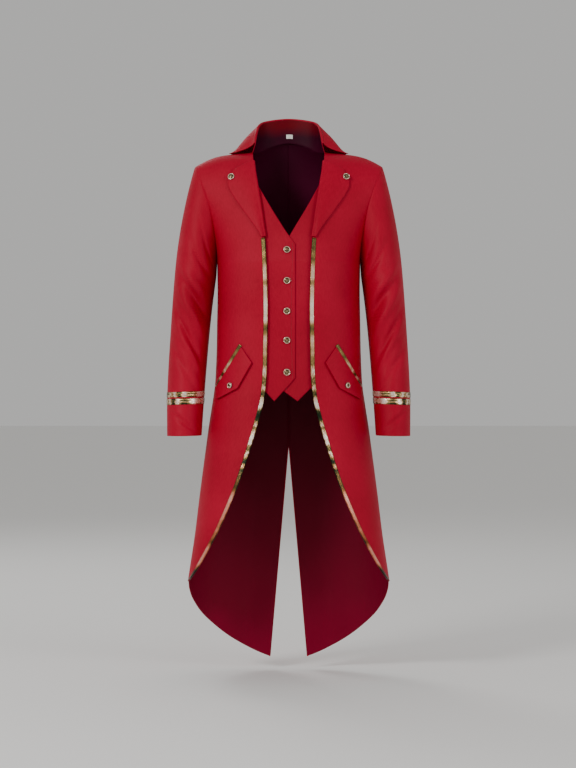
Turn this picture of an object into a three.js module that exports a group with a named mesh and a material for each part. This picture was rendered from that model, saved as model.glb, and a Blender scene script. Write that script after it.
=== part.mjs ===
// A man's tailcoat jacket with mock waistcoat fronts, in the hollow shape it has when worn.
// Millimetres, +Z up. The front of the coat faces -Y, and +X is the wearer's left.
// The origin lies between the shoulder seams, level with the points where they meet the neck.
import * as THREE from "three";

// Driving sizes
const CLOTH = 1.6; // thickness of the shell cloth with its interfacing
const LINING = 1.0;
const TAPE = 0.9; // thickness of the metallic tape
const SEAM = 0.35; // space between two pieces that are sewn together
const BODY_Y = 5; // the side and shoulder seams lie in this plane
const SQUARE = 2.4; // power of the oval that the body's sections follow; 2 is an ellipse

const ARMHOLE = {
  topX: 221,
  topZ: -36,
  bottomX: 168,
  bottomZ: -262,
  front: 62,
  back: 66,
  taper: 0.25, // how much narrower than an oval it is low down
};
const NECK = { halfWidth: 85, foldRadius: 2.4 };
const SHOULDER = { rise: 10.8, skew: 1.4, fadeRow: 2.2 }; // how far the padding lifts the seam
const BACK_VENT = { topZ: -694, tipX: 44.4, tipZ: -1205 };
const EDGE_TAPE = { width: 10.5, topZ: -209, gap: 0.7 };
const LINING_EDGE = { vent: 0.12, hem: 0.12, side: 0.03, tip: 0.12 }; // in columns and rows
const BUTTON = { large: 7.6, small: 6.5, height: 5.2, shankRadius: 2.4, shankHeight: 1.8 };

// How finely the walls are divided
const ARM_STEPS = 9; // rows of a panel along its armhole, and half the points round a sleeve
const FRONT = { columns: 9, rowsBelow: 16, hemZ: -1007 };
const BACK = { neckColumns: 3, shoulderColumns: 5, rowsBelow: 13 };
const SLEEVE_RINGS = 19;

// The body from the shoulder seam to the underarm, one row for each seventh of the armhole.
// centreZ, frontDepth and backDepth are measured at the middle of the body; neckFill and
// neckRise add the round back neckline.
const UPPER_BODY = [
  { row: "shoulder seam", centreZ: 22, frontDepth: 0, backDepth: 0, neckFill: 62, neckRise: 8 },
  { row: "collar bone", centreZ: 4, frontDepth: 44, backDepth: 46, neckFill: 26, neckRise: 6 },
  { row: "upper chest", centreZ: -44, frontDepth: 80, backDepth: 80, neckFill: 7, neckRise: 2 },
  { row: "mid armhole", centreZ: -112, frontDepth: 106, backDepth: 102, neckFill: 0, neckRise: 0 },
  { row: "chest", centreZ: -184, frontDepth: 122, backDepth: 114, neckFill: 0, neckRise: 0 },
  { row: "low armhole", centreZ: -238, frontDepth: 132, backDepth: 119, neckFill: 0, neckRise: 0 },
  { row: "underarm", centreZ: -262, frontDepth: 136, backDepth: 120, neckFill: 0, neckRise: 0 },
];

// The body and skirt below the underarm, as level sections.
const LOWER_BODY = [
  { row: "underarm", z: -262, halfWidth: 168, frontDepth: 136, backDepth: 120 },
  { row: "under the chest", z: -330, halfWidth: 167, frontDepth: 136, backDepth: 116 },
  { row: "above the waist", z: -400, halfWidth: 168.2, frontDepth: 132, backDepth: 110 },
  { row: "waist", z: -460, halfWidth: 169.2, frontDepth: 130, backDepth: 107 },
  { row: "under the waist", z: -507, halfWidth: 170.8, frontDepth: 130, backDepth: 110 },
  { row: "pocket flap", z: -552, halfWidth: 173.7, frontDepth: 131, backDepth: 115 },
  { row: "hip", z: -604, halfWidth: 181.4, frontDepth: 133, backDepth: 123 },
  { row: "seat", z: -642, halfWidth: 187.3, frontDepth: 134, backDepth: 128 },
  { row: "top of the vent", z: -703, halfWidth: 195.6, frontDepth: 137, backDepth: 134 },
  { row: "upper skirt", z: -800, halfWidth: 208.4, frontDepth: 141, backDepth: 140 },
  { row: "middle skirt", z: -902, halfWidth: 221, frontDepth: 145, backDepth: 146 },
  { row: "end of the side seam", z: -1008, halfWidth: 237, frontDepth: 148, backDepth: 150 },
  { row: "tails", z: -1100, halfWidth: 247, frontDepth: 150, backDepth: 154 },
  { row: "tips", z: -1210, halfWidth: 259, frontDepth: 152, backDepth: 158 },
];

// The free edge of each front: the roll line down to the lapel's break, then the taped
// edge, which sweeps round to the side seam.
const FRONT_EDGE = [
  { z: 0, x: 85 },
  { z: -46, x: 80.6 },
  { z: -74, x: 76 },
  { z: -111, x: 70.2 },
  { z: -148, x: 64.4 },
  { z: -180, x: 60 },
  { z: -210, x: 55.6 },
  { z: -284, x: 51.8 },
  { z: -373, x: 49.7 },
  { z: -462, x: 51 },
  { z: -522, x: 52.2 },
  { z: -579, x: 57.8 },
  { z: -615, x: 66.6 },
  { z: -648, x: 75.6 },
  { z: -682, x: 86 },
  { z: -728, x: 100.2 },
  { z: -791, x: 123 },
  { z: -871, x: 157.5 },
  { z: -921, x: 183 },
  { z: -971, x: 211.5 },
  { z: -992, x: 225.6 },
  { z: -1007, x: 236 },
];

// The lower edge of each tail, from the end of the side seam to the tip.
const TAIL_HEM = [
  { x: 237, z: -1008 },
  { x: 236, z: -1031 },
  { x: 228, z: -1059 },
  { x: 207, z: -1095 },
  { x: 170.5, z: -1131.5 },
  { x: 129.6, z: -1163 },
  { x: 88.2, z: -1187 },
  { x: 50, z: -1203 },
];

// The sleeve's outline from the front, and its depth, ring by ring.
const SLEEVE = [
  { ring: "armhole", outerX: 221, outerZ: -36, innerX: 168, innerZ: -262, halfDepth: 62, y: 5 },
  { ring: "cap top", outerX: 231, outerZ: -72, innerX: 168.6, innerZ: -266, halfDepth: 66, y: 5 },
  { ring: "cap", outerX: 242, outerZ: -118, innerX: 168.9, innerZ: -272, halfDepth: 70, y: 5 },
  { ring: "low cap", outerX: 254, outerZ: -180, innerX: 169.3, innerZ: -281, halfDepth: 73, y: 4 },
  { ring: "biceps", outerX: 263, outerZ: -242, innerX: 170.4, innerZ: -296, halfDepth: 73, y: 2 },
  { ring: "upper arm", outerX: 269, outerZ: -305, innerX: 174.6, innerZ: -328, halfDepth: 70, y: 0 },
  { ring: "over elbow", outerX: 274, outerZ: -372, innerX: 181, innerZ: -380, halfDepth: 66, y: 0 },
  { ring: "elbow", outerX: 278.5, outerZ: -442, innerX: 187.3, innerZ: -444, halfDepth: 63, y: -2 },
  { ring: "under elbow", outerX: 282.5, outerZ: -516, innerX: 193, innerZ: -514, halfDepth: 60, y: -10 },
  { ring: "forearm", outerX: 284.6, outerZ: -590, innerX: 198.2, innerZ: -587, halfDepth: 56, y: -22 },
  { ring: "cuff", outerX: 283.6, outerZ: -665.5, innerX: 203, innerZ: -664.5, halfDepth: 51, y: -36 },
];

// Where the two metallic tapes go round each sleeve, counted in rows of the table above.
const CUFF_TAPES = [
  { name: "cuff_tape_upper", from: 8.66, to: 8.82 },
  { name: "cuff_tape_lower", from: 8.87, to: 9.05 },
];

// Soft creases of the sleeve's front, from its outer line down to the inner elbow. Each is at
// its row on the middle of the front, and falls by slope rows for each degree inwards.
const SLEEVE_FOLDS = [
  { row: 5.3, slope: 0.013, height: 2.4, width: 0.5 },
  { row: 6.1, slope: 0.016, height: -3.6, width: 0.42 },
  { row: 6.9, slope: 0.018, height: 3.4, width: 0.45 },
  { row: 7.7, slope: 0.016, height: -2.2, width: 0.42 },
];

// The collar, from the centre back round to its front end. The top of its stand is a point.
// The leaf's lower edge lies on the back at a row and x, or on the front where the row is
// negative, and bow is how far the leaf swells outwards on its way down.
const COLLAR = [
  { at: "centre back", foldX: 0, foldY: 71, foldZ: 84, edgeX: 0, edgeRow: 0.62, bow: 6 },
  { at: "behind the ear", foldX: 50, foldY: 59, foldZ: 80, edgeX: 63, edgeRow: 0.75, bow: 5 },
  { at: "side", foldX: 67, foldY: 36, foldZ: 69, edgeX: 94, edgeRow: 1.05, bow: 3 },
  { at: "shoulder seam", foldX: 73, foldY: 10, foldZ: 48, edgeX: 124, edgeRow: 0.6, bow: -3 },
  { at: "front end", foldX: 78, foldY: -20, foldZ: 17, edgeX: 135, edgeRow: -0.15, bow: -7 },
];
const COLLAR_STATIONS = { toShoulder: 8, toFront: 3, frontRow: 0.75, lift: 0.6, rest: 3 };

// The lapel, from its gorge edge down to the break: how far the outer edge lies from the middle.
const LAPEL = [
  { rollZ: -26, outerX: 130, outerZ: -48 },
  { rollZ: -50, outerX: 146, outerZ: -78 },
  { rollZ: -80, outerX: 134, outerZ: -104 },
  { rollZ: -112, outerX: 115, outerZ: -132 },
  { rollZ: -146, outerX: 95, outerZ: -160 },
  { rollZ: -180, outerX: 76, outerZ: -187 },
  { rollZ: -206, outerX: 62, outerZ: -208 },
];
const LAPEL_FORM = { down: 12, across: 5, inside: 7, lift: 1.9, lipLift: 0.5, belly: 2.2 };

// The pocket flap's corners, and the two bends of its lower edge. The welt runs from
// topInner to topOuter.
const FLAP = {
  topInner: { x: 108.5, z: -461 },
  topOuter: { x: 169, z: -555.5 },
  bottomInner: { x: 84, z: -496.5 },
  bottomBend: { x: 116, z: -555 },
  bottomOuter: { x: 163, z: -580.5 },
  bendAt: 0.62,
};
const FLAP_LIFT = 1.15; // the flap and the welt lie this far off the front
const WELT = { gap: 0.8, width: 8, thickness: 1.2, start: -0.03, end: 0.96 };

// The waistcoat fronts, column by column from the free edge to the seam hidden under the coat.
// x is counted from the middle towards the front's own side; the right front lies on top.
const WAISTCOAT = {
  right: [
    { column: "free edge", x: -14.6, topZ: -222, hemZ: -531.5 },
    { column: "foot of the neckline", x: -4, topZ: -208, hemZ: -543 },
    { column: "neckline", x: 8, topZ: -191, hemZ: -556 },
    { column: "point", x: 34, topZ: -150, hemZ: -584 },
    { column: "edge of the coat", x: 53, topZ: -118, hemZ: -563.5 },
    { column: "under the coat", x: 73.5, topZ: -81.6, hemZ: -552 },
    { column: "hidden seam", x: 112, topZ: -74, hemZ: -545 },
  ],
  left: [
    { column: "free edge", x: -13, topZ: -228, hemZ: -559.6 },
    { column: "foot of the neckline", x: 0, topZ: -206, hemZ: -569 },
    { column: "point", x: 21, topZ: -171, hemZ: -584 },
    { column: "neckline", x: 36, topZ: -147, hemZ: -569.5 },
    { column: "edge of the coat", x: 51, topZ: -121, hemZ: -555 },
    { column: "under the coat", x: 72.5, topZ: -81.6, hemZ: -548 },
    { column: "hidden seam", x: 112, topZ: -74, hemZ: -541 },
  ],
};
const WAISTCOAT_DEPTH = { middle: 5.5, seam: 2.5, underlap: 2.4, rows: 14 };
const WAISTCOAT_BUTTONS = { x: -4.2, z: [-236, -308, -378, -445, -518] };
const LAPEL_BUTTON = { x: 132, z: -67, height: 4.6 };
const FLAP_BUTTON = { x: 131, z: -549 };
// The label on the collar's stand, in the collar's stations and rows.
const LABEL = { offset: 0.12, halfWidth: 0.5, fromRow: 0.3, toRow: 0.73, thickness: 0.6 };

// General helpers
const lerp = (a, b, t) => a + (b - a) * t;
const clamp = (v, low, high) => Math.min(high, Math.max(low, v));
const steps = (n) => Array.from({ length: n + 1 }, (_, i) => i / n);
const point = (x, y, z) => new THREE.Vector3(x, y, z);
const mix = (a, b, t) => a.clone().lerp(b, t);
const moved = (p, direction, distance) => p.clone().addScaledVector(direction, distance);

// A smooth value from a table column, at a row number that may lie between rows.
function column(table, key, at) {
  const last = table.length - 1;
  const i = Math.floor(clamp(at, 0, last - 1e-9));
  const t = clamp(at, 0, last) - i;
  const p0 = table[Math.max(i - 1, 0)][key];
  const p1 = table[i][key];
  const p2 = table[i + 1][key];
  const p3 = table[Math.min(i + 2, last)][key];
  const m1 = (p2 - p0) / 2;
  const m2 = (p3 - p1) / 2;
  const t2 = t * t;
  const t3 = t2 * t;
  return p1 * (2 * t3 - 3 * t2 + 1) + m1 * (t3 - 2 * t2 + t) + p2 * (3 * t2 - 2 * t3) + m2 * (t3 - t2);
}

// The row number at which a column, falling from row to row, has the value wanted.
function rowWhere(table, key, value) {
  const last = table.length - 1;
  let low = 0;
  let high = last;
  for (let i = 0; i < 40; i++) {
    const middle = (low + high) / 2;
    if (column(table, key, middle) > value) low = middle;
    else high = middle;
  }
  return (low + high) / 2;
}

const frontEdgeX = (z) => column(FRONT_EDGE, "x", rowWhere(FRONT_EDGE, "z", z));

// The body's surface. A row is a line across the body: t runs from 0 at the shoulder seam to
// 6 at the underarm, and below that a row is a level section.
const UNDERARM = UPPER_BODY.length - 1;

// The armhole: how far it has dropped from its top at t, and how deep it is there.
const armholeRise = (t) => (1 + Math.cos((Math.PI * t) / UNDERARM)) / 2;

function armholeDepth(t, side) {
  const depth = side < 0 ? ARMHOLE.front : ARMHOLE.back;
  const taper = 1 - ARMHOLE.taper * (1 - armholeRise(t)) ** 2;
  return depth * Math.sin((Math.PI * t) / UNDERARM) * taper;
}

function armholePoint(t, side) {
  const rise = armholeRise(t);
  return point(
    lerp(ARMHOLE.bottomX, ARMHOLE.topX, rise * rise),
    BODY_Y + side * (armholeDepth(t, side) + SEAM / 2),
    lerp(ARMHOLE.bottomZ, ARMHOLE.topZ, rise),
  );
}

function upperRow(t) {
  const arm = armholePoint(t, -1);
  const get = (key) => column(UPPER_BODY, key, t);
  return {
    centreZ: get("centreZ"),
    sideZ: arm.z,
    sideX: arm.x,
    frontDepth: get("frontDepth"),
    backDepth: get("backDepth"),
    frontArm: armholeDepth(t, -1),
    backArm: armholeDepth(t, 1),
    neckFill: get("neckFill"),
    neckRise: get("neckRise"),
    neckPower: lerp(0.5, 1.5, clamp(t, 0, 1)),
    padding: SHOULDER.rise * Math.max(0, 1 - t / SHOULDER.fadeRow),
  };
}

function levelRow(z) {
  const at = rowWhere(LOWER_BODY, "z", z);
  return {
    centreZ: z,
    sideZ: z,
    sideX: column(LOWER_BODY, "halfWidth", at),
    frontDepth: column(LOWER_BODY, "frontDepth", at),
    backDepth: column(LOWER_BODY, "backDepth", at),
    frontArm: 0,
    backArm: 0,
    neckFill: 0,
    neckRise: 0,
    neckPower: 1,
    padding: 0,
  };
}

// The oval that a row follows: its half-width if it ran on past the armhole.
function ovalHalfWidth(row, side) {
  const depth = side < 0 ? row.frontDepth : row.backDepth;
  const arm = side < 0 ? row.frontArm : row.backArm;
  const share = depth > 1 ? Math.min(arm / depth, 0.9) : 0.7;
  return row.sideX / Math.pow(1 - Math.pow(share, SQUARE), 1 / SQUARE);
}

// A point of the body's outer surface on a row; side is -1 at the front and 1 at the back.
function bodyPoint(row, x, side) {
  const oval = ovalHalfWidth(row, side);
  const depth = side < 0 ? row.frontDepth : row.backDepth;
  const across = clamp((x - NECK.halfWidth) / (row.sideX - NECK.halfWidth), 0, 1);
  let out = depth * Math.pow(Math.max(0, 1 - Math.pow(x / oval, SQUARE)), 1 / SQUARE);
  let z = lerp(row.centreZ, row.sideZ, x / row.sideX);
  z += row.padding * Math.sin(Math.PI * Math.pow(across, SHOULDER.skew));
  if (side > 0) {
    const near = Math.max(0, 1 - (x / NECK.halfWidth) ** 2);
    out += row.neckFill * Math.pow(near, row.neckPower);
    z += row.neckRise * near;
  }
  return point(x, BODY_Y + side * (SEAM / 2 + out), z);
}

// Where a row meets x, as a turn of its oval, and back: even turns make even columns.
const turnOf = (x, oval) => Math.asin(Math.pow(clamp(x / oval, 0, 1), SQUARE / 2));
const xOfTurn = (turn, oval) => oval * Math.pow(Math.sin(turn), 2 / SQUARE);

// A row of points across the front, from x to the side.
function rowOfPoints(row, x, columns) {
  const oval = ovalHalfWidth(row, -1);
  const from = turnOf(x, oval);
  const to = turnOf(row.sideX, oval);
  return steps(columns).map((u) => bodyPoint(row, xOfTurn(lerp(from, to, u), oval), -1));
}

// Walls: a sheet is a grid of points with the direction that each faces.
function gridNormals(points, outwards, closed = false) {
  const rows = points.length;
  const columns = points[0].length;
  return points.map((line, i) =>
    line.map((p, j) => {
      const up = points[Math.max(i - 1, 0)][j];
      const down = points[Math.min(i + 1, rows - 1)][j];
      const before = closed ? line[(j - 1 + columns) % columns] : line[Math.max(j - 1, 0)];
      const after = closed ? line[(j + 1) % columns] : line[Math.min(j + 1, columns - 1)];
      const normal = after.clone().sub(before).cross(down.clone().sub(up)).normalize();
      return normal.dot(outwards(p, i, j)) < 0 ? normal.negate() : normal;
    }),
  );
}

// A closed solid between two grids of points. A closed grid is a tube.
function wallGeometry(outer, inner, closed = false) {
  const rows = outer.length;
  const columns = outer[0].length;
  const positions = [...outer.flat(), ...inner.flat()].flatMap((p) => [p.x, p.y, p.z]);
  const index = [];
  const id = (face, i, j) => face * rows * columns + i * columns + (j % columns);
  const quad = (a, b, c, d) => index.push(a, b, c, a, c, d);
  const lastColumn = closed ? columns : columns - 1;
  for (let i = 0; i < rows - 1; i++) {
    for (let j = 0; j < lastColumn; j++) {
      quad(id(0, i, j), id(0, i + 1, j), id(0, i + 1, j + 1), id(0, i, j + 1));
      quad(id(1, i, j), id(1, i, j + 1), id(1, i + 1, j + 1), id(1, i + 1, j));
    }
  }
  for (let j = 0; j < lastColumn; j++) {
    const i = rows - 1;
    quad(id(0, 0, j), id(0, 0, j + 1), id(1, 0, j + 1), id(1, 0, j));
    quad(id(0, i, j), id(1, i, j), id(1, i, j + 1), id(0, i, j + 1));
  }
  for (let i = 0; i < rows - 1 && !closed; i++) {
    const j = columns - 1;
    quad(id(0, i, 0), id(1, i, 0), id(1, i + 1, 0), id(0, i + 1, 0));
    quad(id(0, i, j), id(0, i + 1, j), id(1, i + 1, j), id(1, i, j));
  }
  return facingOut(positions, index);
}

// The geometry of a closed mesh, turned round if its faces point inwards.
function facingOut(positions, index) {
  const corner = (k) => point(...positions.slice(3 * index[k], 3 * index[k] + 3));
  let volume = 0;
  for (let k = 0; k < index.length; k += 3) {
    volume += corner(k).dot(corner(k + 1).cross(corner(k + 2)));
  }
  if (volume < 0) index.reverse();
  const geometry = new THREE.BufferGeometry();
  geometry.setAttribute("position", new THREE.Float32BufferAttribute(positions, 3));
  geometry.setIndex(index);
  geometry.computeVertexNormals();
  return geometry;
}

// A layer of a sheet: its two faces lie at these distances out from the sheet's points.
function layer(sheet, outer, inner, closed = false) {
  const face = (distance) =>
    sheet.points.map((line, i) => line.map((p, j) => moved(p, sheet.normals[i][j], distance)));
  return wallGeometry(face(outer), face(inner), closed);
}

// A place on a sheet between its grid lines, with the direction it faces.
function placeOn(sheet, row, columnAt, closed = false) {
  const rows = sheet.points.length;
  const columns = sheet.points[0].length;
  const i = clamp(Math.floor(row), 0, rows - 2);
  const j = closed ? Math.floor(columnAt) : clamp(Math.floor(columnAt), 0, columns - 2);
  const between = (grid) => {
    const top = mix(grid[i][j % columns], grid[i][(j + 1) % columns], columnAt - j);
    const bottom = mix(grid[i + 1][j % columns], grid[i + 1][(j + 1) % columns], columnAt - j);
    return mix(top, bottom, row - i);
  };
  return { at: between(sheet.points), facing: between(sheet.normals) };
}

// The place on a sheet that has a given x and z. Past the sheet's edges it runs on straight.
function placeAt(sheet, x, z) {
  let low = 0;
  let high = sheet.points.length - 1;
  let columnAt = 0;
  for (let n = 0; n < 30; n++) {
    const middle = (low + high) / 2;
    columnAt = columnOf(sheet, middle, x);
    if (placeOn(sheet, middle, columnAt).at.z > z) low = middle;
    else high = middle;
  }
  return placeOn(sheet, (low + high) / 2, columnAt);
}

function columnOf(sheet, row, x) {
  const last = sheet.points[0].length - 1;
  const xs = steps(last).map((s) => placeOn(sheet, row, s * last).at.x);
  const j = clamp(xs.findIndex((value) => value > x) - 1, 0, last - 1);
  const end = x > xs[last] ? last - 1 : j;
  return end + (x - xs[end]) / (xs[end + 1] - xs[end]);
}

// A solid that lies on a sheet at places given by x and z.
function patchOn(sheet, places, lift, thickness) {
  const found = places.map((line) => line.map(({ x, z }) => placeAt(sheet, x, z)));
  const face = (distance) =>
    found.map((line) => line.map(({ at, facing }) => moved(at, facing, distance)));
  return wallGeometry(face(lift + thickness), face(lift));
}

const mirrorPoints = (grid) => grid.map((line) => line.map((p) => point(-p.x, p.y, p.z)));

// Directions that the front and the back share along their seams.
const SHOULDER_NORMAL = point(
  UPPER_BODY[0].centreZ - ARMHOLE.topZ,
  0,
  ARMHOLE.topX,
).normalize();

function sideSeamNormal(z) {
  const reach = 10;
  const slope = (levelRow(z + reach).sideX - levelRow(z - reach).sideX) / (2 * reach);
  return point(1, 0, -slope).normalize();
}

// The front panel. Its first column is the free edge, and its second lies under the inner
// border of the edge's tape.
function frontSheet() {
  const upper = steps(ARM_STEPS).map((s) => upperRow(s * UNDERARM));
  const lower = steps(FRONT.rowsBelow)
    .slice(1)
    .map((s) => levelRow(lerp(ARMHOLE.bottomZ, FRONT.hemZ, 1 - Math.pow(1 - s, 1.15))));
  const rows = [...upper, ...lower];
  const edges = rows.map((row) => {
    let x = NECK.halfWidth;
    for (let n = 0; n < 8; n++) x = frontEdgeX(bodyPoint(row, x, -1).z);
    return x;
  });
  const points = rows.map((row, i) => {
    const edge = bodyPoint(row, edges[i], -1);
    const above = bodyPoint(rows[Math.max(i - 1, 0)], edges[Math.max(i - 1, 0)], -1);
    const tapeX = tapeBorder(row, edge, edge.clone().sub(above));
    return [edge, ...rowOfPoints(row, tapeX, FRONT.columns - 1)];
  });
  const normals = gridNormals(points, (p) => point(p.x * 0.6, p.y - BODY_Y - 20, 0));
  normals[0] = normals[0].map(() => SHOULDER_NORMAL);
  for (let i = ARM_STEPS; i < rows.length; i++) {
    normals[i][FRONT.columns] = sideSeamNormal(rows[i].sideZ);
  }
  return { points, normals };
}

// How far out on a row the tape's inner border lies, square to an edge that runs along.
function tapeBorder(row, edge, along) {
  const limit = edge.x + 0.6 * (row.sideX - edge.x);
  let low = edge.x;
  let high = limit;
  for (let n = 0; n < 30; n++) {
    const x = (low + high) / 2;
    const across = bodyPoint(row, x, -1).sub(edge);
    const square = along.lengthSq() > 0 ? across.projectOnPlane(along.clone().normalize()) : across;
    if (square.length() < EDGE_TAPE.width) low = x;
    else high = x;
  }
  return (low + high) / 2;
}

// The back panel, with one tail; its centre edge is the back seam and, below it, the vent.
function backSheet() {
  const columns = BACK.neckColumns + BACK.shoulderColumns;
  const points = steps(ARM_STEPS).map((s) => {
    const row = upperRow(s * UNDERARM);
    const oval = ovalHalfWidth(row, 1);
    const side = turnOf(row.sideX, oval);
    const blend = clamp(s * 2, 0, 1);
    return steps(columns).map((u, j) => {
      const shoulder = (j - BACK.neckColumns) / BACK.shoulderColumns;
      const onNeck = NECK.halfWidth * Math.sin((Math.PI / 2) * (j / BACK.neckColumns));
      const x = j < BACK.neckColumns ? onNeck : lerp(NECK.halfWidth, row.sideX, shoulder);
      return bodyPoint(row, Math.max(SEAM / 2, lerp(x, xOfTurn(u * side, oval), blend)), 1);
    });
  });
  const end = TAIL_HEM[0];
  const tailRows = TAIL_HEM.length - 1;
  const startOfTail = lerp(end.z, BACK_VENT.tipZ, 0.1);
  for (const s of steps(BACK.rowsBelow).slice(1)) {
    const z = lerp(ARMHOLE.bottomZ, end.z, s);
    const ventZ = lerp(ARMHOLE.bottomZ, startOfTail, s);
    points.push(tailLine(ventZ, { x: levelRow(z).sideX, z }, columns));
  }
  for (let i = 1; i <= tailRows; i++) {
    points.push(tailLine(lerp(startOfTail, BACK_VENT.tipZ, i / tailRows), TAIL_HEM[i], columns));
  }
  const normals = gridNormals(points, (p) => point(p.x * 0.6, p.y - BODY_Y + 20, 0));
  normals.forEach((line, i) => {
    line[0].setX(0).normalize();
    const { z } = points[i][columns];
    if (i >= ARM_STEPS && z > end.z - 1) line[columns] = sideSeamNormal(z);
  });
  normals[0] = points[0].map((p, j) => {
    const fill = UPPER_BODY[0].neckFill;
    const neck = point(p.x / NECK.halfWidth, (p.y - BODY_Y) / fill, 0.25).normalize();
    if (j < BACK.neckColumns) return neck;
    return j === BACK.neckColumns ? neck.add(SHOULDER_NORMAL).normalize() : SHOULDER_NORMAL;
  });
  return { points, normals };
}

const ventX = (z) =>
  Math.max(SEAM / 2, (BACK_VENT.tipX * (z - BACK_VENT.topZ)) / (BACK_VENT.tipZ - BACK_VENT.topZ));

// A line of points across the back, from the centre edge to a point of the side seam or hem.
function tailLine(fromZ, outer, columns) {
  const fromX = ventX(fromZ);
  const oval = Math.max(levelRow((fromZ + outer.z) / 2).sideX, outer.x);
  const from = turnOf(fromX, oval);
  const to = turnOf(outer.x, oval);
  return steps(columns).map((u) => {
    const x = u === 1 ? outer.x : xOfTurn(lerp(from, to, u), oval);
    const row = levelRow(lerp(fromZ, outer.z, (x - fromX) / (outer.x - fromX)));
    return bodyPoint(row, Math.min(x, row.sideX), 1);
  });
}

// The lining of the back follows the panel, and ends just short of its vent, hem and seams.
function liningSheet(back) {
  const rows = back.points.length - 1;
  const columns = back.points[0].length - 1;
  const ventRow = back.points.findIndex((line) => line[0].x > 1);
  const hemRow = rows - TAIL_HEM.length + 1;
  const places = back.points.map((line, i) =>
    line.map((_, j) => {
      if (j === 0) return [i, i >= ventRow ? LINING_EDGE.vent : 0];
      return [i, j === columns ? j - (i > hemRow ? LINING_EDGE.hem : LINING_EDGE.side) : j];
    }),
  );
  places[rows] = places[rows].map(([, j]) => [rows - LINING_EDGE.tip, j]);
  const found = places.map((line) => line.map(([i, j]) => placeOn(back, i, j)));
  return {
    points: found.map((line) => line.map(({ at }) => at)),
    normals: found.map((line) => line.map(({ facing }) => facing)),
  };
}

// The sleeve: a tube of rings, from the armhole seam down to the cuff.
const AROUND = 2 * ARM_STEPS;

function sleeveSheet() {
  const axis = point(ARMHOLE.topZ - ARMHOLE.bottomZ, 0, ARMHOLE.bottomX - ARMHOLE.topX).normalize();
  const armhole = Array.from({ length: AROUND }, (_, k) => {
    const side = k <= ARM_STEPS ? -1 : 1;
    const t = ((k <= ARM_STEPS ? k : AROUND - k) * UNDERARM) / ARM_STEPS;
    return moved(armholePoint(t, side), axis, SEAM);
  });
  const ringPoint = (row, k) => {
    const get = (key) => column(SLEEVE, key, row);
    const turn = (2 * Math.PI * k) / AROUND;
    const outer = point(get("outerX"), get("y"), get("outerZ"));
    const inner = point(get("innerX"), get("y"), get("innerZ"));
    const at = mix(inner, outer, (1 + Math.cos(turn)) / 2);
    return at.add(point(0, -get("halfDepth") * Math.sin(turn), 0));
  };
  const points = steps(SLEEVE_RINGS).map((s) => {
    const row = s * (SLEEVE.length - 1);
    const keep = Math.max(0, 1 - row / 3) ** 2;
    const centre = ringPoint(row, 0).add(ringPoint(row, ARM_STEPS)).divideScalar(2);
    return armhole.map((at, k) => {
      const difference = at.clone().sub(ringPoint(0, k)).multiplyScalar(keep);
      const p = ringPoint(row, k).add(difference);
      return moved(p, p.clone().sub(centre).normalize(), sleeveFold(row, (360 * k) / AROUND));
    });
  });
  const centres = points.map((line) =>
    line.reduce((sum, p) => sum.add(p), point(0, 0, 0)).divideScalar(AROUND),
  );
  return { points, normals: gridNormals(points, (p, i) => p.clone().sub(centres[i]), true) };
}

// Turns the walls that meet in the armhole seam so that they meet in a mitre.
function mitreArmhole(front, back, sleeve) {
  const own = sleeve.normals[0].map((n) => n.clone());
  const mitre = (a, b) => {
    const dot = a.dot(b);
    return a.clone().addScaledVector(b, 1 + Math.min(dot, 0)).divideScalar(1 + Math.max(dot, 0));
  };
  const meet = (line, k) => {
    const body = line[line.length - 1];
    line[line.length - 1] = mitre(body, own[k]);
    sleeve.normals[0][k] = mitre(own[k], body);
  };
  for (let k = 0; k <= ARM_STEPS; k++) {
    meet(back.normals[k], (AROUND - k) % AROUND);
    meet(front.normals[k], k);
  }
}

// How far the sleeve's creases move its surface out, at a row of its table and an angle in
// degrees from its outer line round the front. Its outline stays as it is.
function sleeveFold(row, angle) {
  if (angle >= 180) return 0;
  const window = Math.sin((Math.PI * angle) / 180) ** 2 * clamp((9 - row) / 1.5, 0, 1);
  return SLEEVE_FOLDS.reduce((sum, fold) => {
    const across = (row - fold.row - fold.slope * (angle - 90)) / fold.width;
    return sum + fold.height * Math.exp(-across * across) * window;
  }, 0);
}

function cuffTapeGeometry(sleeve, { from, to }) {
  const perRow = SLEEVE_RINGS / (SLEEVE.length - 1);
  const found = [from, (from + to) / 2, to].map((row) =>
    Array.from({ length: AROUND }, (_, k) => placeOn(sleeve, row * perRow, k, true)),
  );
  const face = (distance) =>
    found.map((line) => line.map(({ at, facing }) => moved(at, facing, distance)));
  return wallGeometry(face(SEAM + TAPE), face(SEAM), true);
}

// The tape that binds the front's edge, folded over it.
function edgeTapeGeometry(front) {
  const topRow = rowWhere(front.points.map((line) => ({ z: line[0].z })), "z", EDGE_TAPE.topZ);
  const last = front.points.length - 1;
  const rows = [topRow, ...steps(last).map((s) => s * last).filter((i) => i > topRow + 0.3)];
  const rings = rows.map((row) => {
    const edge = placeOn(front, row, 0);
    const border = placeOn(front, row, 1);
    const ahead = placeOn(front, Math.min(row + 0.5, last), 0).at;
    const along = ahead.sub(placeOn(front, Math.max(row - 0.5, 0), 0).at).normalize();
    const square = border.at.clone().sub(edge.at).projectOnPlane(along).normalize();
    const over = (distance, height) => moved(moved(edge.at, square, -distance), edge.facing, height);
    const reach = (height) => moved(border.at, border.facing, height);
    const gap = EDGE_TAPE.gap;
    const inside = -CLOTH - gap;
    return [
      reach(gap),
      reach(gap + TAPE),
      over(gap + TAPE, gap + TAPE),
      over(gap + TAPE, inside - TAPE),
      reach(inside - TAPE),
      reach(inside),
      over(gap, inside),
      over(gap, gap),
    ];
  });
  return foldedStrip(rings);
}

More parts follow.
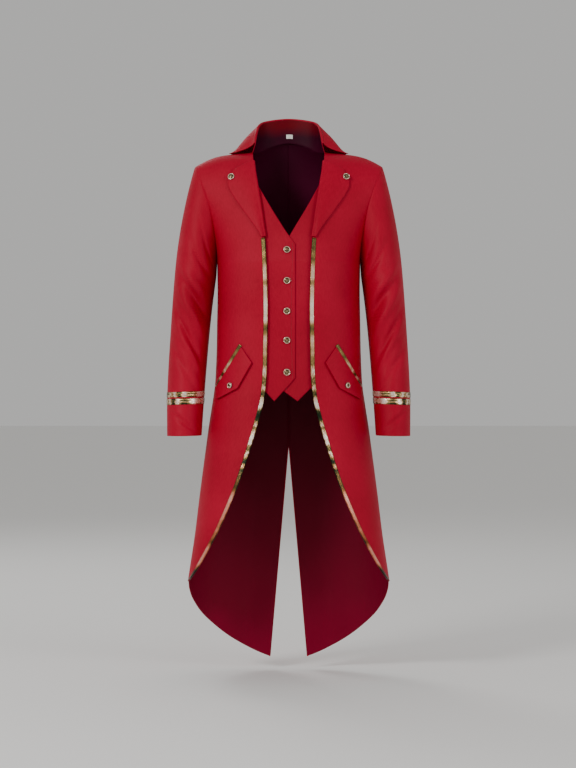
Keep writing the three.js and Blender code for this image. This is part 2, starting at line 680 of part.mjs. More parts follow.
// A solid through rings of eight points that go round a strip folded in a U.
function foldedStrip(rings) {
  const around = 8;
  const positions = rings.flat().flatMap((p) => [p.x, p.y, p.z]);
  const index = [];
  const quad = (a, b, c, d) => index.push(a, b, c, a, c, d);
  for (let i = 0; i < rings.length - 1; i++) {
    for (let k = 0; k < around; k++) {
      const next = (k + 1) % around;
      const ring = [i * around + k, (i + 1) * around + k, (i + 1) * around + next, i * around + next];
      // The faces that lie on the panel are divided along the same diagonals as the panel.
      if (k === 1 || k === 5) ring.unshift(ring.pop());
      quad(...ring);
    }
  }
  const last = (rings.length - 1) * around;
  for (const [a, b, c, d] of [
    [0, 1, 2, 7],
    [7, 2, 3, 6],
    [6, 3, 4, 5],
  ]) {
    quad(a, b, c, d);
    quad(last + a, last + d, last + c, last + b);
  }
  return facingOut(positions, index);
}

// The collar: a stand that rises from the neckline, and a leaf that folds down over it.
function collarSheet(front, back) {
  const { toShoulder, toFront, frontRow } = COLLAR_STATIONS;
  const shoulderRow = COLLAR.length - 2;
  const onBack = steps(toShoulder).map((s) => {
    const x = NECK.halfWidth * Math.sin((Math.PI / 2) * s);
    const { at, facing } = placeOn(back, 0, columnOf(back, 0, x));
    return { base: moved(at, facing, -CLOTH / 2), row: s * shoulderRow };
  });
  const onFront = steps(toFront)
    .slice(1)
    .map((s) => ({ base: placeOn(front, frontRow * s, 0).at, row: shoulderRow + s }));
  const section = ({ base, row }) => {
    const get = (key) => column(COLLAR, key, row);
    const seat = base.clone().add(point(0, 0, COLLAR_STATIONS.lift));
    const top = point(get("foldX"), get("foldY"), get("foldZ"));
    const [sheet, sheetRow] = get("edgeRow") < 0 ? [front, -get("edgeRow")] : [back, get("edgeRow")];
    const rest = placeOn(sheet, sheetRow, columnOf(sheet, sheetRow, get("edgeX")));
    const edge = moved(rest.at, rest.facing, COLLAR_STATIONS.rest);
    const out = edge.clone().sub(seat).setZ(0).normalize();
    const radius = NECK.foldRadius;
    const fold = [120, 60, 0].map((degrees) => {
      const turn = (degrees * Math.PI) / 180;
      const lift = point(0, 0, radius * Math.sin(turn));
      return moved(top, out, radius + radius * Math.cos(turn)).add(lift);
    });
    const hang = (t) => {
      const swell = point(out.x, out.y, 0.8).normalize();
      return moved(mix(fold[2], edge, t), swell, get("bow") * Math.sin(Math.PI * Math.pow(t, 0.8)));
    };
    const points = [seat, mix(seat, top, 0.5), top, ...fold, hang(0.33), hang(0.7), edge];
    return { points, out };
  };
  const left = [...onBack, ...onFront].map(section);
  const right = left.slice(1).reverse();
  const flip = (p) => point(-p.x, p.y, p.z);
  const points = [...mirrorPoints(right.map((part) => part.points)), ...left.map((part) => part.points)];
  const outs = [...right.map(({ out }) => flip(out)), ...left.map(({ out }) => out)];
  const normals = gridNormals(points, (p, i, j) => {
    return j < 3 ? outs[i].clone().negate() : outs[i].clone().add(point(0, 0, 1));
  });
  return { points, normals };
}

function labelGeometry(collar) {
  const middle = (collar.points.length - 1) / 2 + LABEL.offset;
  const { halfWidth, fromRow, toRow, thickness } = LABEL;
  const found = [fromRow, toRow].map((j) =>
    [-halfWidth, 0, halfWidth].map((i) => placeOn(collar, middle + i, j)),
  );
  const face = (distance) =>
    found.map((line) => line.map(({ at, facing }) => moved(at, facing, distance)));
  const seat = CLOTH / 2 + SEAM;
  return wallGeometry(face(seat + thickness), face(seat));
}

// The lapel: it turns back over the front's edge at the roll line and lies on the chest.
function lapelGeometry(front) {
  const { down, across, inside, lift, lipLift, belly } = LAPEL_FORM;
  const lines = steps(down).map((s) => {
    const get = (key) => column(LAPEL, key, s * (LAPEL.length - 1));
    const rollZ = get("rollZ");
    const rollX = frontEdgeX(rollZ);
    const on = (x, z, height) => {
      const { at, facing } = placeAt(front, x, z);
      return { at: moved(at, facing, height), facing };
    };
    const roll = placeAt(front, rollX, rollZ);
    const behind = on(rollX + inside, rollZ, -CLOTH - lift);
    const towards = behind.at.clone().sub(roll.at).projectOnPlane(roll.facing).normalize();
    const round = [-130, -90, -45].map((degrees) => {
      const turn = (degrees * Math.PI) / 180;
      const radius = CLOTH + lift;
      const out = point(0, 0, 0)
        .addScaledVector(towards, Math.sin(turn))
        .addScaledVector(roll.facing, Math.cos(turn));
      return { at: moved(moved(roll.at, roll.facing, -CLOTH / 2), out, radius), facing: out };
    });
    const lying = steps(across)
      .slice(1)
      .map((v) => {
        const height = lift + lipLift * v + belly * Math.sin(Math.PI * v);
        return on(lerp(rollX, get("outerX"), v), lerp(rollZ, get("outerZ"), v), height);
      });
    return [{ at: behind.at, facing: behind.facing.clone().negate() }, ...round, ...lying];
  });
  const face = (distance) =>
    lines.map((line) => line.map(({ at, facing }) => moved(at, facing, distance)));
  return wallGeometry(face(CLOTH / 2), face(-CLOTH / 2));
}

const between = (a, b, t) => ({ x: lerp(a.x, b.x, t), z: lerp(a.z, b.z, t) });

function flapGeometry(front) {
  const { topInner, topOuter, bottomInner, bottomBend, bottomOuter, bendAt } = FLAP;
  const across = [0, 0.2, 0.4, bendAt, 0.75, 0.88, 1];
  const bottom = (u) =>
    u < bendAt
      ? between(bottomInner, bottomBend, u / bendAt)
      : between(bottomBend, bottomOuter, (u - bendAt) / (1 - bendAt));
  const places = steps(4).map((v) =>
    across.map((u) => between(between(topInner, topOuter, u), bottom(u), v)),
  );
  return patchOn(front, places, FLAP_LIFT, CLOTH);
}

// The welt lies along the flap's upper edge.
function weltGeometry(front) {
  const { topInner, topOuter } = FLAP;
  const length = Math.hypot(topOuter.x - topInner.x, topOuter.z - topInner.z);
  const off = ({ x, z }, distance) => {
    const offZ = z + (distance * (topOuter.x - topInner.x)) / length;
    const offX = x + (distance * (topInner.z - topOuter.z)) / length;
    return { x: Math.min(offX, levelRow(offZ).sideX - 1), z: offZ };
  };
  const places = [WELT.gap + WELT.width, WELT.gap + WELT.width / 2, WELT.gap].map((distance) =>
    steps(7).map((u) => off(between(topInner, topOuter, lerp(WELT.start, WELT.end, u)), distance)),
  );
  return patchOn(front, places, FLAP_LIFT, WELT.thickness);
}

// A waistcoat front: columns from its table, each a line down the body's surface, set inwards.
function waistcoatGeometry(side, front) {
  const table = side === "right" ? WAISTCOAT.right : WAISTCOAT.left;
  const { middle, seam, underlap, rows } = WAISTCOAT_DEPTH;
  const last = table.length - 1;
  const underEdge = table[last - 1].x;
  const depthAt = (x) => {
    const under = side === "left" ? underlap * clamp((underEdge - x) / underEdge, 0, 1) : 0;
    return under + lerp(middle, seam, clamp((x - underEdge - 15) / (table[last].x - underEdge - 15), 0, 1));
  };
  const columns = table.flatMap((from, i) => {
    if (i === last) return [from];
    const to = table[i + 1];
    const pieces = Math.ceil((to.x - from.x) / 14);
    return steps(pieces)
      .slice(0, pieces)
      .map((s) => ({
        x: lerp(from.x, to.x, s),
        topZ: lerp(from.topZ, to.topZ, s),
        hemZ: lerp(from.hemZ, to.hemZ, s),
      }));
  });
  const lines = columns.map(({ x, topZ, hemZ }) =>
    steps(rows).map((s) => {
      const z = lerp(topZ, hemZ, s);
      const { at, facing } = x > underEdge ? placeAt(front, x, z) : chestPlace(x, z);
      return { at: moved(at, facing, -depthAt(x)), facing };
    }),
  );
  const face = (distance) =>
    lines.map((line) => line.map(({ at, facing }) => moved(at, facing, -distance)));
  return wallGeometry(face(0), face(CLOTH));
}

// The body's surface at the middle of the chest, where the coat is open.
function chestPlace(x, z) {
  const pointAt = (u, v) => {
    let low = 0;
    let high = UNDERARM;
    for (let n = 0; n < 30 && v > ARMHOLE.bottomZ; n++) {
      const middle = (low + high) / 2;
      if (bodyPoint(upperRow(middle), u, -1).z > v) low = middle;
      else high = middle;
    }
    return bodyPoint(v > ARMHOLE.bottomZ ? upperRow((low + high) / 2) : levelRow(v), u, -1);
  };
  const at = pointAt(Math.abs(x), z);
  const reach = Math.max(Math.abs(x), 1);
  const across = pointAt(reach + 1, z).sub(pointAt(reach - 1, z));
  const facing = across.cross(pointAt(reach, z + 4).sub(pointAt(reach, z - 4))).normalize();
  if (facing.y > 0) facing.negate();
  if (Math.abs(x) < 1) facing.setX(0).normalize();
  if (x < 0) facing.setX(-facing.x);
  return { at: at.setX(x), facing };
}

// A metal button on a shank: a turned shape that stands square to the cloth.
function buttonGeometry(radius) {
  const { height, shankRadius, shankHeight } = BUTTON;
  const rimHeight = shankHeight + 1.1;
  const profile = [
    { r: 0, h: 0 },
    { r: shankRadius, h: 0 },
    { r: shankRadius, h: shankHeight },
    { r: radius, h: shankHeight },
    { r: radius, h: rimHeight },
    { r: radius * 0.82, h: rimHeight + 0.7 },
    { r: radius * 0.62, h: rimHeight + 0.35 },
    { r: 0, h: height },
  ].map(({ r, h }) => new THREE.Vector2(r, h));
  return new THREE.LatheGeometry(profile, 12);
}

// Seats a button on the cloth at a place, looking the way that the place faces.
function seatButton(mesh, { at, facing }) {
  mesh.quaternion.setFromUnitVectors(point(0, 1, 0), facing.clone().normalize());
  mesh.position.copy(moved(at, facing, SEAM));
}

// Materials
const material = (name, color, roughness, metalness = 0) =>
  Object.assign(new THREE.MeshStandardMaterial({ color, roughness, metalness }), { name });
const SHELL = material("shell cloth", "#a8002a", 0.75);
const LINED = material("lining", "#5c0618", 0.5);
const GOLD = material("metallic tape", "#d6b978", 0.25, 1);
const BRASS = material("antique brass", "#9c8460", 0.4, 1);
const WHITE = material("label", "#e8e6e2", 0.8);

// The coat
const coat = new THREE.Group();

function add(name, geometry, finish) {
  const mesh = new THREE.Mesh(geometry, finish);
  mesh.name = name;
  coat.add(mesh);
  return mesh;
}

// The same geometry on the wearer's right.
function turned(geometry) {
  const positions = Array.from(geometry.attributes.position.array, (v, i) => (i % 3 ? v : -v));
  return facingOut(positions, Array.from(geometry.index.array));
}

const front = frontSheet();
const back = backSheet();
const sleeve = sleeveSheet();
mitreArmhole(front, back, sleeve);
const lining = liningSheet(back);
const liningFace = -CLOTH - SEAM;
const halves = [
  { name: "front", geometry: layer(front, 0, -CLOTH), finish: SHELL },
  { name: "back", geometry: layer(back, 0, -CLOTH), finish: SHELL },
  { name: "back_lining", geometry: layer(lining, liningFace, liningFace - LINING), finish: LINED },
  { name: "sleeve", geometry: layer(sleeve, 0, -CLOTH, true), finish: SHELL },
  { name: "lapel", geometry: lapelGeometry(front), finish: SHELL },
  { name: "edge_tape", geometry: edgeTapeGeometry(front), finish: GOLD },
  { name: "pocket_flap", geometry: flapGeometry(front), finish: SHELL },
  { name: "pocket_welt", geometry: weltGeometry(front), finish: GOLD },
  ...CUFF_TAPES.map((tape) => ({
    name: tape.name,
    geometry: cuffTapeGeometry(sleeve, tape),
    finish: GOLD,
  })),
];
for (const { name, geometry, finish } of halves) {
  add(`${name}_left`, geometry, finish);
  add(`${name}_right`, turned(geometry), finish);
}

for (const side of ["left", "right"]) {
  const sign = side === "left" ? 1 : -1;
  const place = ({ x, z }, height) => {
    const { at, facing } = placeAt(front, x, z);
    at.addScaledVector(facing, height);
    return { at: at.setX(sign * at.x), facing: facing.setX(sign * facing.x) };
  };
  const waistcoat = waistcoatGeometry(side, front);
  add(`waistcoat_front_${side}`, sign > 0 ? waistcoat : turned(waistcoat), SHELL);
  const onLapel = add(`lapel_button_${side}`, buttonGeometry(BUTTON.large), BRASS);
  seatButton(onLapel, place(LAPEL_BUTTON, LAPEL_BUTTON.height));
  const onFlap = add(`flap_button_${side}`, buttonGeometry(BUTTON.small), BRASS);
  seatButton(onFlap, place(FLAP_BUTTON, FLAP_LIFT + CLOTH));
}

const collar = collarSheet(front, back);
add("collar", layer(collar, CLOTH / 2, -CLOTH / 2), SHELL);
add("neck_label", labelGeometry(collar), WHITE);

WAISTCOAT_BUTTONS.z.forEach((z, i) => {
  const { at, facing } = chestPlace(WAISTCOAT_BUTTONS.x, z);
  const button = add(`waistcoat_button_${i + 1}`, buttonGeometry(BUTTON.large), BRASS);
  seatButton(button, { at: moved(at, facing, -WAISTCOAT_DEPTH.middle), facing });
});

export default coat;
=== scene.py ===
"""A tailcoat with mock waistcoat, dressed over its CAD frame.

The surfaces follow the same sizes as the frame. Lengths are in millimetres until a mesh is made.
"""

import math

import bpy
import numpy as np
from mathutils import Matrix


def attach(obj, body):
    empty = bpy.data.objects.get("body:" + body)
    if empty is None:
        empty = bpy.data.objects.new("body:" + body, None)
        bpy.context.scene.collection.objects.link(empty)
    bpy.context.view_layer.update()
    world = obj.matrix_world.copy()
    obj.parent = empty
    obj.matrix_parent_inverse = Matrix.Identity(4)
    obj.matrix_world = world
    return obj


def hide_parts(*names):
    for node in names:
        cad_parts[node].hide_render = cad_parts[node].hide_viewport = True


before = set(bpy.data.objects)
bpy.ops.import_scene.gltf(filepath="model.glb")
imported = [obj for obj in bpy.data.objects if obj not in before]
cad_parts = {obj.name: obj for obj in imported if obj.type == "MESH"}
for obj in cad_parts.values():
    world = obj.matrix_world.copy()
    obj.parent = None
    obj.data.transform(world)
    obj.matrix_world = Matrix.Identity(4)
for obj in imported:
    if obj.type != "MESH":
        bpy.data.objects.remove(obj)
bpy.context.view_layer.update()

# Driving sizes
CLOTH = 1.6
LINING = 0.8
TAPE = 0.9
SEAM = 0.12  # space left between two pieces that are sewn together
BODY_Y = 5.0  # the plane of the side and shoulder seams
SQUARE = 2.4  # power of the oval that the body's sections follow
RIM = 0.42  # how far a wall's rim bulges, as a share of its thickness
ARMHOLE = dict(top_x=221, top_z=-36, bottom_x=168, bottom_z=-262, front=62, back=66, taper=0.25)
SIDE_SHARE = dict(at_seam=0.7, most=0.9)  # depth at the side, as a share of the middle's
NECK = dict(half_width=85, fold_radius=2.4, lean=0.25, fill_power=(0.5, 1.5))
SHOULDER = dict(rise=10.8, skew=1.4, fade_row=2.2, round_row=0.3, ridge=9, turn_row=0.5)
VENT = dict(top_z=-694, tip_x=44.4, tip_z=-1205)
EDGE_TAPE = dict(width=7.6, top_z=-209, gap=0.2, most_of_front=0.6, squash=0.8)
STITCH = dict(pitch=3.4, length=2.5, width=0.8, inset=8.5, lift=0.1, end_rows=3)
# The skirt hangs in flutes. Each of WAVE and RIPPLE is two trains of waves that cross: the
# length across in which each turns by a radian, and its radians for each level down.
FLUTE = dict(height=4.0, turns=2.2, from_row=9.5, over_rows=6, shift=0.15, twist=0.12)
WAVE = dict(height=1.1, across=(33, -61), down=(1.9, 2.3), on_back=2)
RIPPLE = dict(height=0.35, across=(29, 17), down=(4.7, -3.1))
# The waves fade towards the middle, the side seam and the shoulder.
SMOOTHED = dict(from_x=8, over_x=40, skew=0.8, fullness=0.7, from_row=0.8, over_rows=2)

# How finely the walls are divided
FINE = dict(arm=54, front=64, below=150, neck=30, shoulder=40, tail=50, rings=170)
LAPEL_GRID = dict(down=70, across=26, turn=12)
FLAP_GRID = dict(across=61, down=29)
WELT_GRID = dict(along=90, across=9)
EDGE_TAPE_GRID = dict(flat=9, bend=7)
WAISTCOAT_GRID = dict(across=96, down=151)
CUFF_TAPE_LINES = 7
COLLAR_GRID = dict(behind=46, beside=18, stand=15, fold=9, leaf=25)
LABEL_GRID = dict(across=15, down=9)


def table(names, *rows):
    """A table as one array for each named column."""
    return {name: np.array(values, float) for name, values in zip(names.split(), zip(*rows))}


# The body from the shoulder seam to the underarm.
UPPER_BODY = table(
    "centre_z front back neck_fill neck_rise",
    (22, 0, 0, 62, 8),
    (4, 44, 46, 26, 6),
    (-44, 80, 80, 7, 2),
    (-112, 106, 102, 0, 0),
    (-184, 122, 114, 0, 0),
    (-238, 132, 119, 0, 0),
    (-262, 136, 120, 0, 0),
)
# Level sections from the underarm to the tips of the tails.
LOWER_BODY = table(
    "z half_width front back",
    (-262, 168, 136, 120),
    (-330, 167, 136, 116),
    (-400, 168.2, 132, 110),
    (-460, 169.2, 130, 107),
    (-507, 170.8, 130, 110),
    (-552, 173.7, 131, 115),
    (-604, 181.4, 133, 123),
    (-642, 187.3, 134, 128),
    (-703, 195.6, 137, 134),
    (-800, 208.4, 141, 140),
    (-902, 221, 145, 146),
    (-1008, 237, 148, 150),
    (-1100, 247, 150, 154),
    (-1210, 259, 152, 158),
)
# The free edge of each front: the roll line, then the taped edge that sweeps to the side seam.
FRONT_EDGE = table(
    "z x",
    (0, 85),
    (-46, 80.6),
    (-74, 76),
    (-111, 70.2),
    (-148, 64.4),
    (-180, 60),
    (-210, 55.6),
    (-284, 51.8),
    (-373, 49.7),
    (-462, 51),
    (-522, 52.2),
    (-579, 57.8),
    (-615, 66.6),
    (-648, 75.6),
    (-682, 86),
    (-728, 100.2),
    (-791, 123),
    (-871, 157.5),
    (-921, 183),
    (-971, 211.5),
    (-992, 225.6),
    (-1007, 236),
)
TAIL_HEM = table(
    "x z",
    (237, -1008),
    (236, -1031),
    (228, -1059),
    (207, -1095),
    (170.5, -1131.5),
    (129.6, -1163),
    (88.2, -1187),
    (50, -1203),
)
SLEEVE = table(
    "outer_x outer_z inner_x inner_z half_depth y",
    (221, -36, 168, -262, 62, 5),
    (231, -72, 168.6, -266, 66, 5),
    (242, -118, 168.9, -272, 70, 5),
    (254, -180, 169.3, -281, 73, 4),
    (263, -242, 170.4, -296, 73, 2),
    (269, -305, 174.6, -328, 70, 0),
    (274, -372, 181, -380, 66, 0),
    (278.5, -442, 187.3, -444, 63, -2),
    (282.5, -516, 193, -514, 60, -10),
    (284.6, -590, 198.2, -587, 56, -22),
    (283.6, -665.5, 203, -664.5, 51, -36),
)
CUFF_TAPES = {"cuff_tape_upper": (8.66, 8.82), "cuff_tape_lower": (8.87, 9.05)}
CUFF_TAPE = dict(back=0.15, edge=0.25, roundness=0.4)
# Creases of the sleeve: the row and angle of each one's middle, how many rows it falls for each
# degree inwards, its height, and its width in rows and reach in degrees.
SLEEVE_FOLDS = table(
    "row angle slope height width reach",
    (5.15, 110, 0.011, 8.6, 0.36, 60),
    (5.75, 118, 0.015, -12.5, 0.24, 62),
    (6.25, 105, 0.017, 10.4, 0.26, 60),
    (6.85, 85, 0.018, -9.8, 0.22, 60),
    (7.25, 95, 0.017, 8.2, 0.23, 55),
    (7.8, 75, 0.014, -7.0, 0.2, 50),
    (8.2, 110, 0.008, 4.0, 0.18, 45),
    (3.9, 120, 0.016, -6.4, 0.32, 45),
    (2.6, 135, 0.018, -4.6, 0.32, 38),
    (9.28, 70, 0.006, 2.8, 0.1, 45),
    (9.5, 84, 0.007, -5.4, 0.11, 50),
    (9.72, 100, 0.007, 3.6, 0.1, 45),
    (4.3, 200, -0.012, -5.0, 0.27, 40),
    (5.7, 240, -0.012, -8.6, 0.23, 45),
    (6.4, 250, -0.012, 7.6, 0.27, 45),
    (6.9, 240, -0.01, -8.8, 0.22, 50),
    (7.5, 235, 0.004, -5.4, 0.23, 45),
    (3.4, 250, 0.012, -5.0, 0.36, 45),
    (9.5, 250, 0.006, -3.8, 0.13, 45),
)
COLLAR = table(
    "fold_x fold_y fold_z edge_x edge_row bow",
    (0, 71, 84, 0, 0.62, 6),
    (50, 59, 76.5, 63, 0.75, 6),
    (67, 36, 66, 94, 1.05, 8),
    (73, 10, 48, 128, 0.6, 8),
    (78, -20, 17, 139, -0.15, -5),
)
CAD_ROW = 6 / 9  # the collar's rows count ninths of the armhole
COLLAR_SEAT = dict(front_row=0.75, inside=3.6, drop=2.0, front_rise=0.6, rest=3.0, swell_up=0.8)
LAPEL = table(
    "roll_z outer_x outer_z",
    (-26, 127, -50),
    (-50, 139.5, -80),
    (-80, 131, -104),
    (-112, 112.5, -132),
    (-146, 92, -161),
    (-180, 73, -188),
    (-206, 62, -208),
)
# The lapel's height above the front at its roll line, at its outer edge and between them, how far
# it is tucked in, and its room round the fold.
LAPEL_LIE = dict(lift=1.9, lip=2.2, belly=2.4, tucked=7, room=0.8)
FLAP = dict(
    top_inner=(108.5, -461),
    top_outer=(169, -555.5),
    bottom_inner=(84, -496.5),
    bottom_bend=(116, -555),
    bottom_outer=(163, -580.5),
    bend_at=0.62,
    lift=1.15,
    lip=3.2,
    puff=2.2,
    thickness=2.0,
)
WELT = dict(gap=0.8, width=8.0, thickness=1.2, start=-0.03, end=0.96, probe=2.0)
WAISTCOAT_RIGHT = table(
    "x top_z hem_z",
    (-14.6, -222, -531.5),
    (-4, -208, -543),
    (8, -191, -556),
    (34, -150, -584),
    (53, -118, -563.5),
    (73.5, -81.6, -552),
    (112, -74, -545),
)
WAISTCOAT_LEFT = table(
    "x top_z hem_z",
    (-13, -228, -559.6),
    (0, -206, -569),
    (21, -171, -584),
    (36, -147, -569.5),
    (51, -121, -555),
    (72.5, -81.6, -548),
    (112, -74, -541),
)
WAISTCOAT_DEPTH = dict(middle=7.0, seam=2.5, underlap=3.6, level_for=15)
WAISTCOAT_BUTTONS = dict(x=-4.2, z=(-236, -308, -378, -445, -518), height_on=-6.65)
LAPEL_BUTTON = dict(x=132, z=-67, height_on=4.95)
FLAP_BUTTON = dict(x=131, z=-549, height_on=6.05)
BUTTON = dict(large=7.6, small=6.5, height=5.2, shank_radius=2.4, shank_height=1.8, outline=21.3)
LABEL = dict(x=2.0, half_width=7.6, from_row=0.2, to_row=0.37, thickness=0.55, gap=0.1, seat_line=4)
# How far the lining stops short is in steps of the back's grid.
LINING_SEAT = dict(gap=0.1, short_of_vent=0.35, short_of_side=0.02, short_of_hem=0.5, hem_row=1.2)
FACING = dict(front=55, cuff=28)  # how wide the outer cloth is turned in


# Tables and vectors
def column(values, at):
    """A smooth value from a table's column, at row numbers that may lie between rows."""
    last = len(values) - 1
    at = np.clip(at, 0, last)
    i = np.minimum(np.floor(at).astype(int), last - 1)
    t = at - i
    p0, p1 = values[np.maximum(i - 1, 0)], values[i]
    p2, p3 = values[i + 1], values[np.minimum(i + 2, last)]
    m1, m2 = (p2 - p0) / 2, (p3 - p1) / 2
    rise = 3 * t**2 - 2 * t**3
    return p1 * (1 - rise) + m1 * (t**3 - 2 * t**2 + t) + p2 * rise + m2 * (t**3 - t**2)


def where(values, wanted):
    """The row numbers at which a falling column has the values wanted."""
    steps = 4000
    fine = np.linspace(0, len(values) - 1, steps)
    return np.interp(-np.asarray(wanted, float), -column(values, fine), fine)


def lerp(a, b, t):
    return a + (b - a) * t


def vectors(x, y, z):
    return np.stack(np.broadcast_arrays(x, y, z), axis=-1).astype(float)


def unit(v):
    return v / np.maximum(np.linalg.norm(v, axis=-1, keepdims=True), 1e-9)


def smooth(t):
    t = np.clip(t, 0, 1)
    return t * t * (3 - 2 * t)


def front_edge_x(z):
    return column(FRONT_EDGE["x"], where(FRONT_EDGE["z"], z))


FLIP = np.array([-1.0, 1.0, 1.0])  # mirrors a point to the coat's other side
UP = np.array([0, 0, 1.0])

# The body's surface: w runs from 0 at the shoulder seam to 6 at the underarm, and below that
# each further 1 is a level section 100 lower.
UNDERARM = 6.0
LEVEL_STEP = 100.0
LAST_ROW = 16.0
FRONT_SIDE, BACK_SIDE = -1, 1


def level_w(z):
    return UNDERARM + (ARMHOLE["bottom_z"] - np.asarray(z, float)) / LEVEL_STEP


def armhole_rise(w):
    return (1 + np.cos(np.pi * np.clip(w, 0, UNDERARM) / UNDERARM)) / 2


def armhole_depth(w, side):
    depth = ARMHOLE["front"] if side == FRONT_SIDE else ARMHOLE["back"]
    taper = 1 - ARMHOLE["taper"] * (1 - armhole_rise(w)) ** 2
    return depth * np.sin(np.pi * np.clip(w, 0, UNDERARM) / UNDERARM) * taper


def armhole_point(w, side):
    rise = armhole_rise(w)
    return vectors(
        lerp(ARMHOLE["bottom_x"], ARMHOLE["top_x"], rise**2),
        BODY_Y + side * (armhole_depth(w, side) + SEAM / 2),
        lerp(ARMHOLE["bottom_z"], ARMHOLE["top_z"], rise),
    )


def body_row(w, side):
    """What shapes the body's sections at w."""
    w = np.asarray(w, float)
    upper = w <= UNDERARM
    z = ARMHOLE["bottom_z"] - (w - UNDERARM) * LEVEL_STEP
    at = where(LOWER_BODY["z"], z)
    key = "front" if side == FRONT_SIDE else "back"
    arm = armhole_point(w, side)
    depth = np.where(upper, column(UPPER_BODY[key], w), column(LOWER_BODY[key], at))
    side_x = np.where(upper, arm[..., 0], column(LOWER_BODY["half_width"], at))
    share = np.minimum(armhole_depth(w, side) / np.maximum(depth, 1), SIDE_SHARE["most"])
    share = np.where(depth > 1, share, SIDE_SHARE["at_seam"])
    return dict(
        centre_z=np.where(upper, column(UPPER_BODY["centre_z"], w), z),
        side_z=np.where(upper, arm[..., 2], z),
        side_x=side_x,
        depth=depth,
        oval=side_x / (1 - share**SQUARE) ** (1 / SQUARE),
        neck_fill=np.where(upper, column(UPPER_BODY["neck_fill"], w), 0),
        neck_rise=np.where(upper, column(UPPER_BODY["neck_rise"], w), 0),
        neck_power=lerp(*NECK["fill_power"], np.clip(w, 0, 1)),
        padding=SHOULDER["rise"] * np.maximum(0, 1 - w / SHOULDER["fade_row"]),
    )


def crossing(waves, x, level, side):
    """Two trains of waves that cross. The first one is shifted from the front to the back."""
    (first_x, second_x), (first_turn, second_turn) = waves["across"], waves["down"]
    first = np.sin(x / first_x + level * first_turn + side)
    return waves["height"] * first * np.sin(x / second_x + level * second_turn)


def drape(w, x, side, row):
    """How far the hanging cloth swells out: flutes in the skirt, and slight waves above it."""
    turn = np.clip(x / row["side_x"], 0, 1)
    level = UNDERARM - (row["centre_z"] - LOWER_BODY["z"][0]) / LEVEL_STEP
    low = smooth((w - FLUTE["from_row"]) / FLUTE["over_rows"])
    phase = 2 * np.pi * (FLUTE["turns"] * turn + FLUTE["shift"] * side) + FLUTE["twist"] * w
    strength = WAVE["on_back"] if side == BACK_SIDE else 1
    upper = smooth((w - SMOOTHED["from_row"]) / SMOOTHED["over_rows"])
    waves = strength * crossing(WAVE, x, level, side) + crossing(RIPPLE, x, level, side)
    swell = FLUTE["height"] * low * np.sin(phase) + upper * waves
    loose = np.sin(np.pi * turn ** SMOOTHED["skew"]) ** SMOOTHED["fullness"]
    return swell * loose * smooth((x - SMOOTHED["from_x"]) / SMOOTHED["over_x"])


def body_point(w, x, side, row=None):
    """Points of the body's outer surface."""
    r = row or body_row(w, side)
    half = NECK["half_width"]
    across = np.clip((x - half) / (r["side_x"] - half), 0, 1)
    out = r["depth"] * np.maximum(0, 1 - (x / r["oval"]) ** SQUARE) ** (1 / SQUARE)
    out = out + drape(w, x, side, r)
    slope = (r["centre_z"] - r["side_z"]) / r["side_x"]
    z = r["centre_z"] - slope * x + slope * x * np.maximum(0, 1 - x / half) ** 2
    pad = np.sin(np.pi * across ** SHOULDER["skew"])
    z = z + r["padding"] * pad
    slant = SHOULDER["ridge"] + SHOULDER["rise"] / SHOULDER["fade_row"] * pad
    fade = np.maximum(0, 1 - w / SHOULDER["fade_row"]) ** 2
    rounded = fade - np.exp(-w / SHOULDER["round_row"])
    z = z + SHOULDER["round_row"] * slant * rounded * (w < UNDERARM)
    if side == BACK_SIDE:
        near = np.maximum(0, 1 - (x / half) ** 2)
        out = out + r["neck_fill"] * near ** r["neck_power"]
        z = z + r["neck_rise"] * near
    return vectors(x, BODY_Y + side * (SEAM / 2 + out), z)


def facing_at(w, x, side):
    """The way the surface faces: across it and down it are measured over a few millimetres."""
    dw, dx = 0.02, 1.5
    wide = np.maximum(x, dx)
    down = body_point(w + dw, x, side) - body_point(np.maximum(w - dw, 0), x, side)
    across = body_point(w, wide + dx, side) - body_point(w, wide - dx, side)
    normal = unit(np.cross(across, down))
    outwards = vectors(wide * 0.6, side * 100, 20)
    return np.where((normal * outwards).sum(-1, keepdims=True) < 0, -normal, normal)


def front_at(x, z):
    """Points of the front's surface at x and z, with the way they face. x may be below 0."""
    halvings, blend_x = 36, 12
    x, z = np.broadcast_arrays(np.asarray(x, float), np.asarray(z, float))
    low, high = np.zeros(x.shape), np.full(x.shape, LAST_ROW)
    for _ in range(halvings):
        middle = (low + high) / 2
        above = body_point(middle, np.abs(x), FRONT_SIDE)[..., 2] > z
        low, high = np.where(above, middle, low), np.where(above, high, middle)
    w = (low + high) / 2
    at, facing = body_point(w, np.abs(x), FRONT_SIDE), facing_at(w, np.abs(x), FRONT_SIDE)
    flip = np.where(x < 0, -1.0, 1.0)
    at[..., 0] *= flip
    facing[..., 0] *= flip * smooth(np.abs(x) / blend_x)
    return at, unit(facing)


def wrapped(grid):
    """A grid with its first column again at its end."""
    return np.concatenate([grid, grid[:, :1]], axis=1)


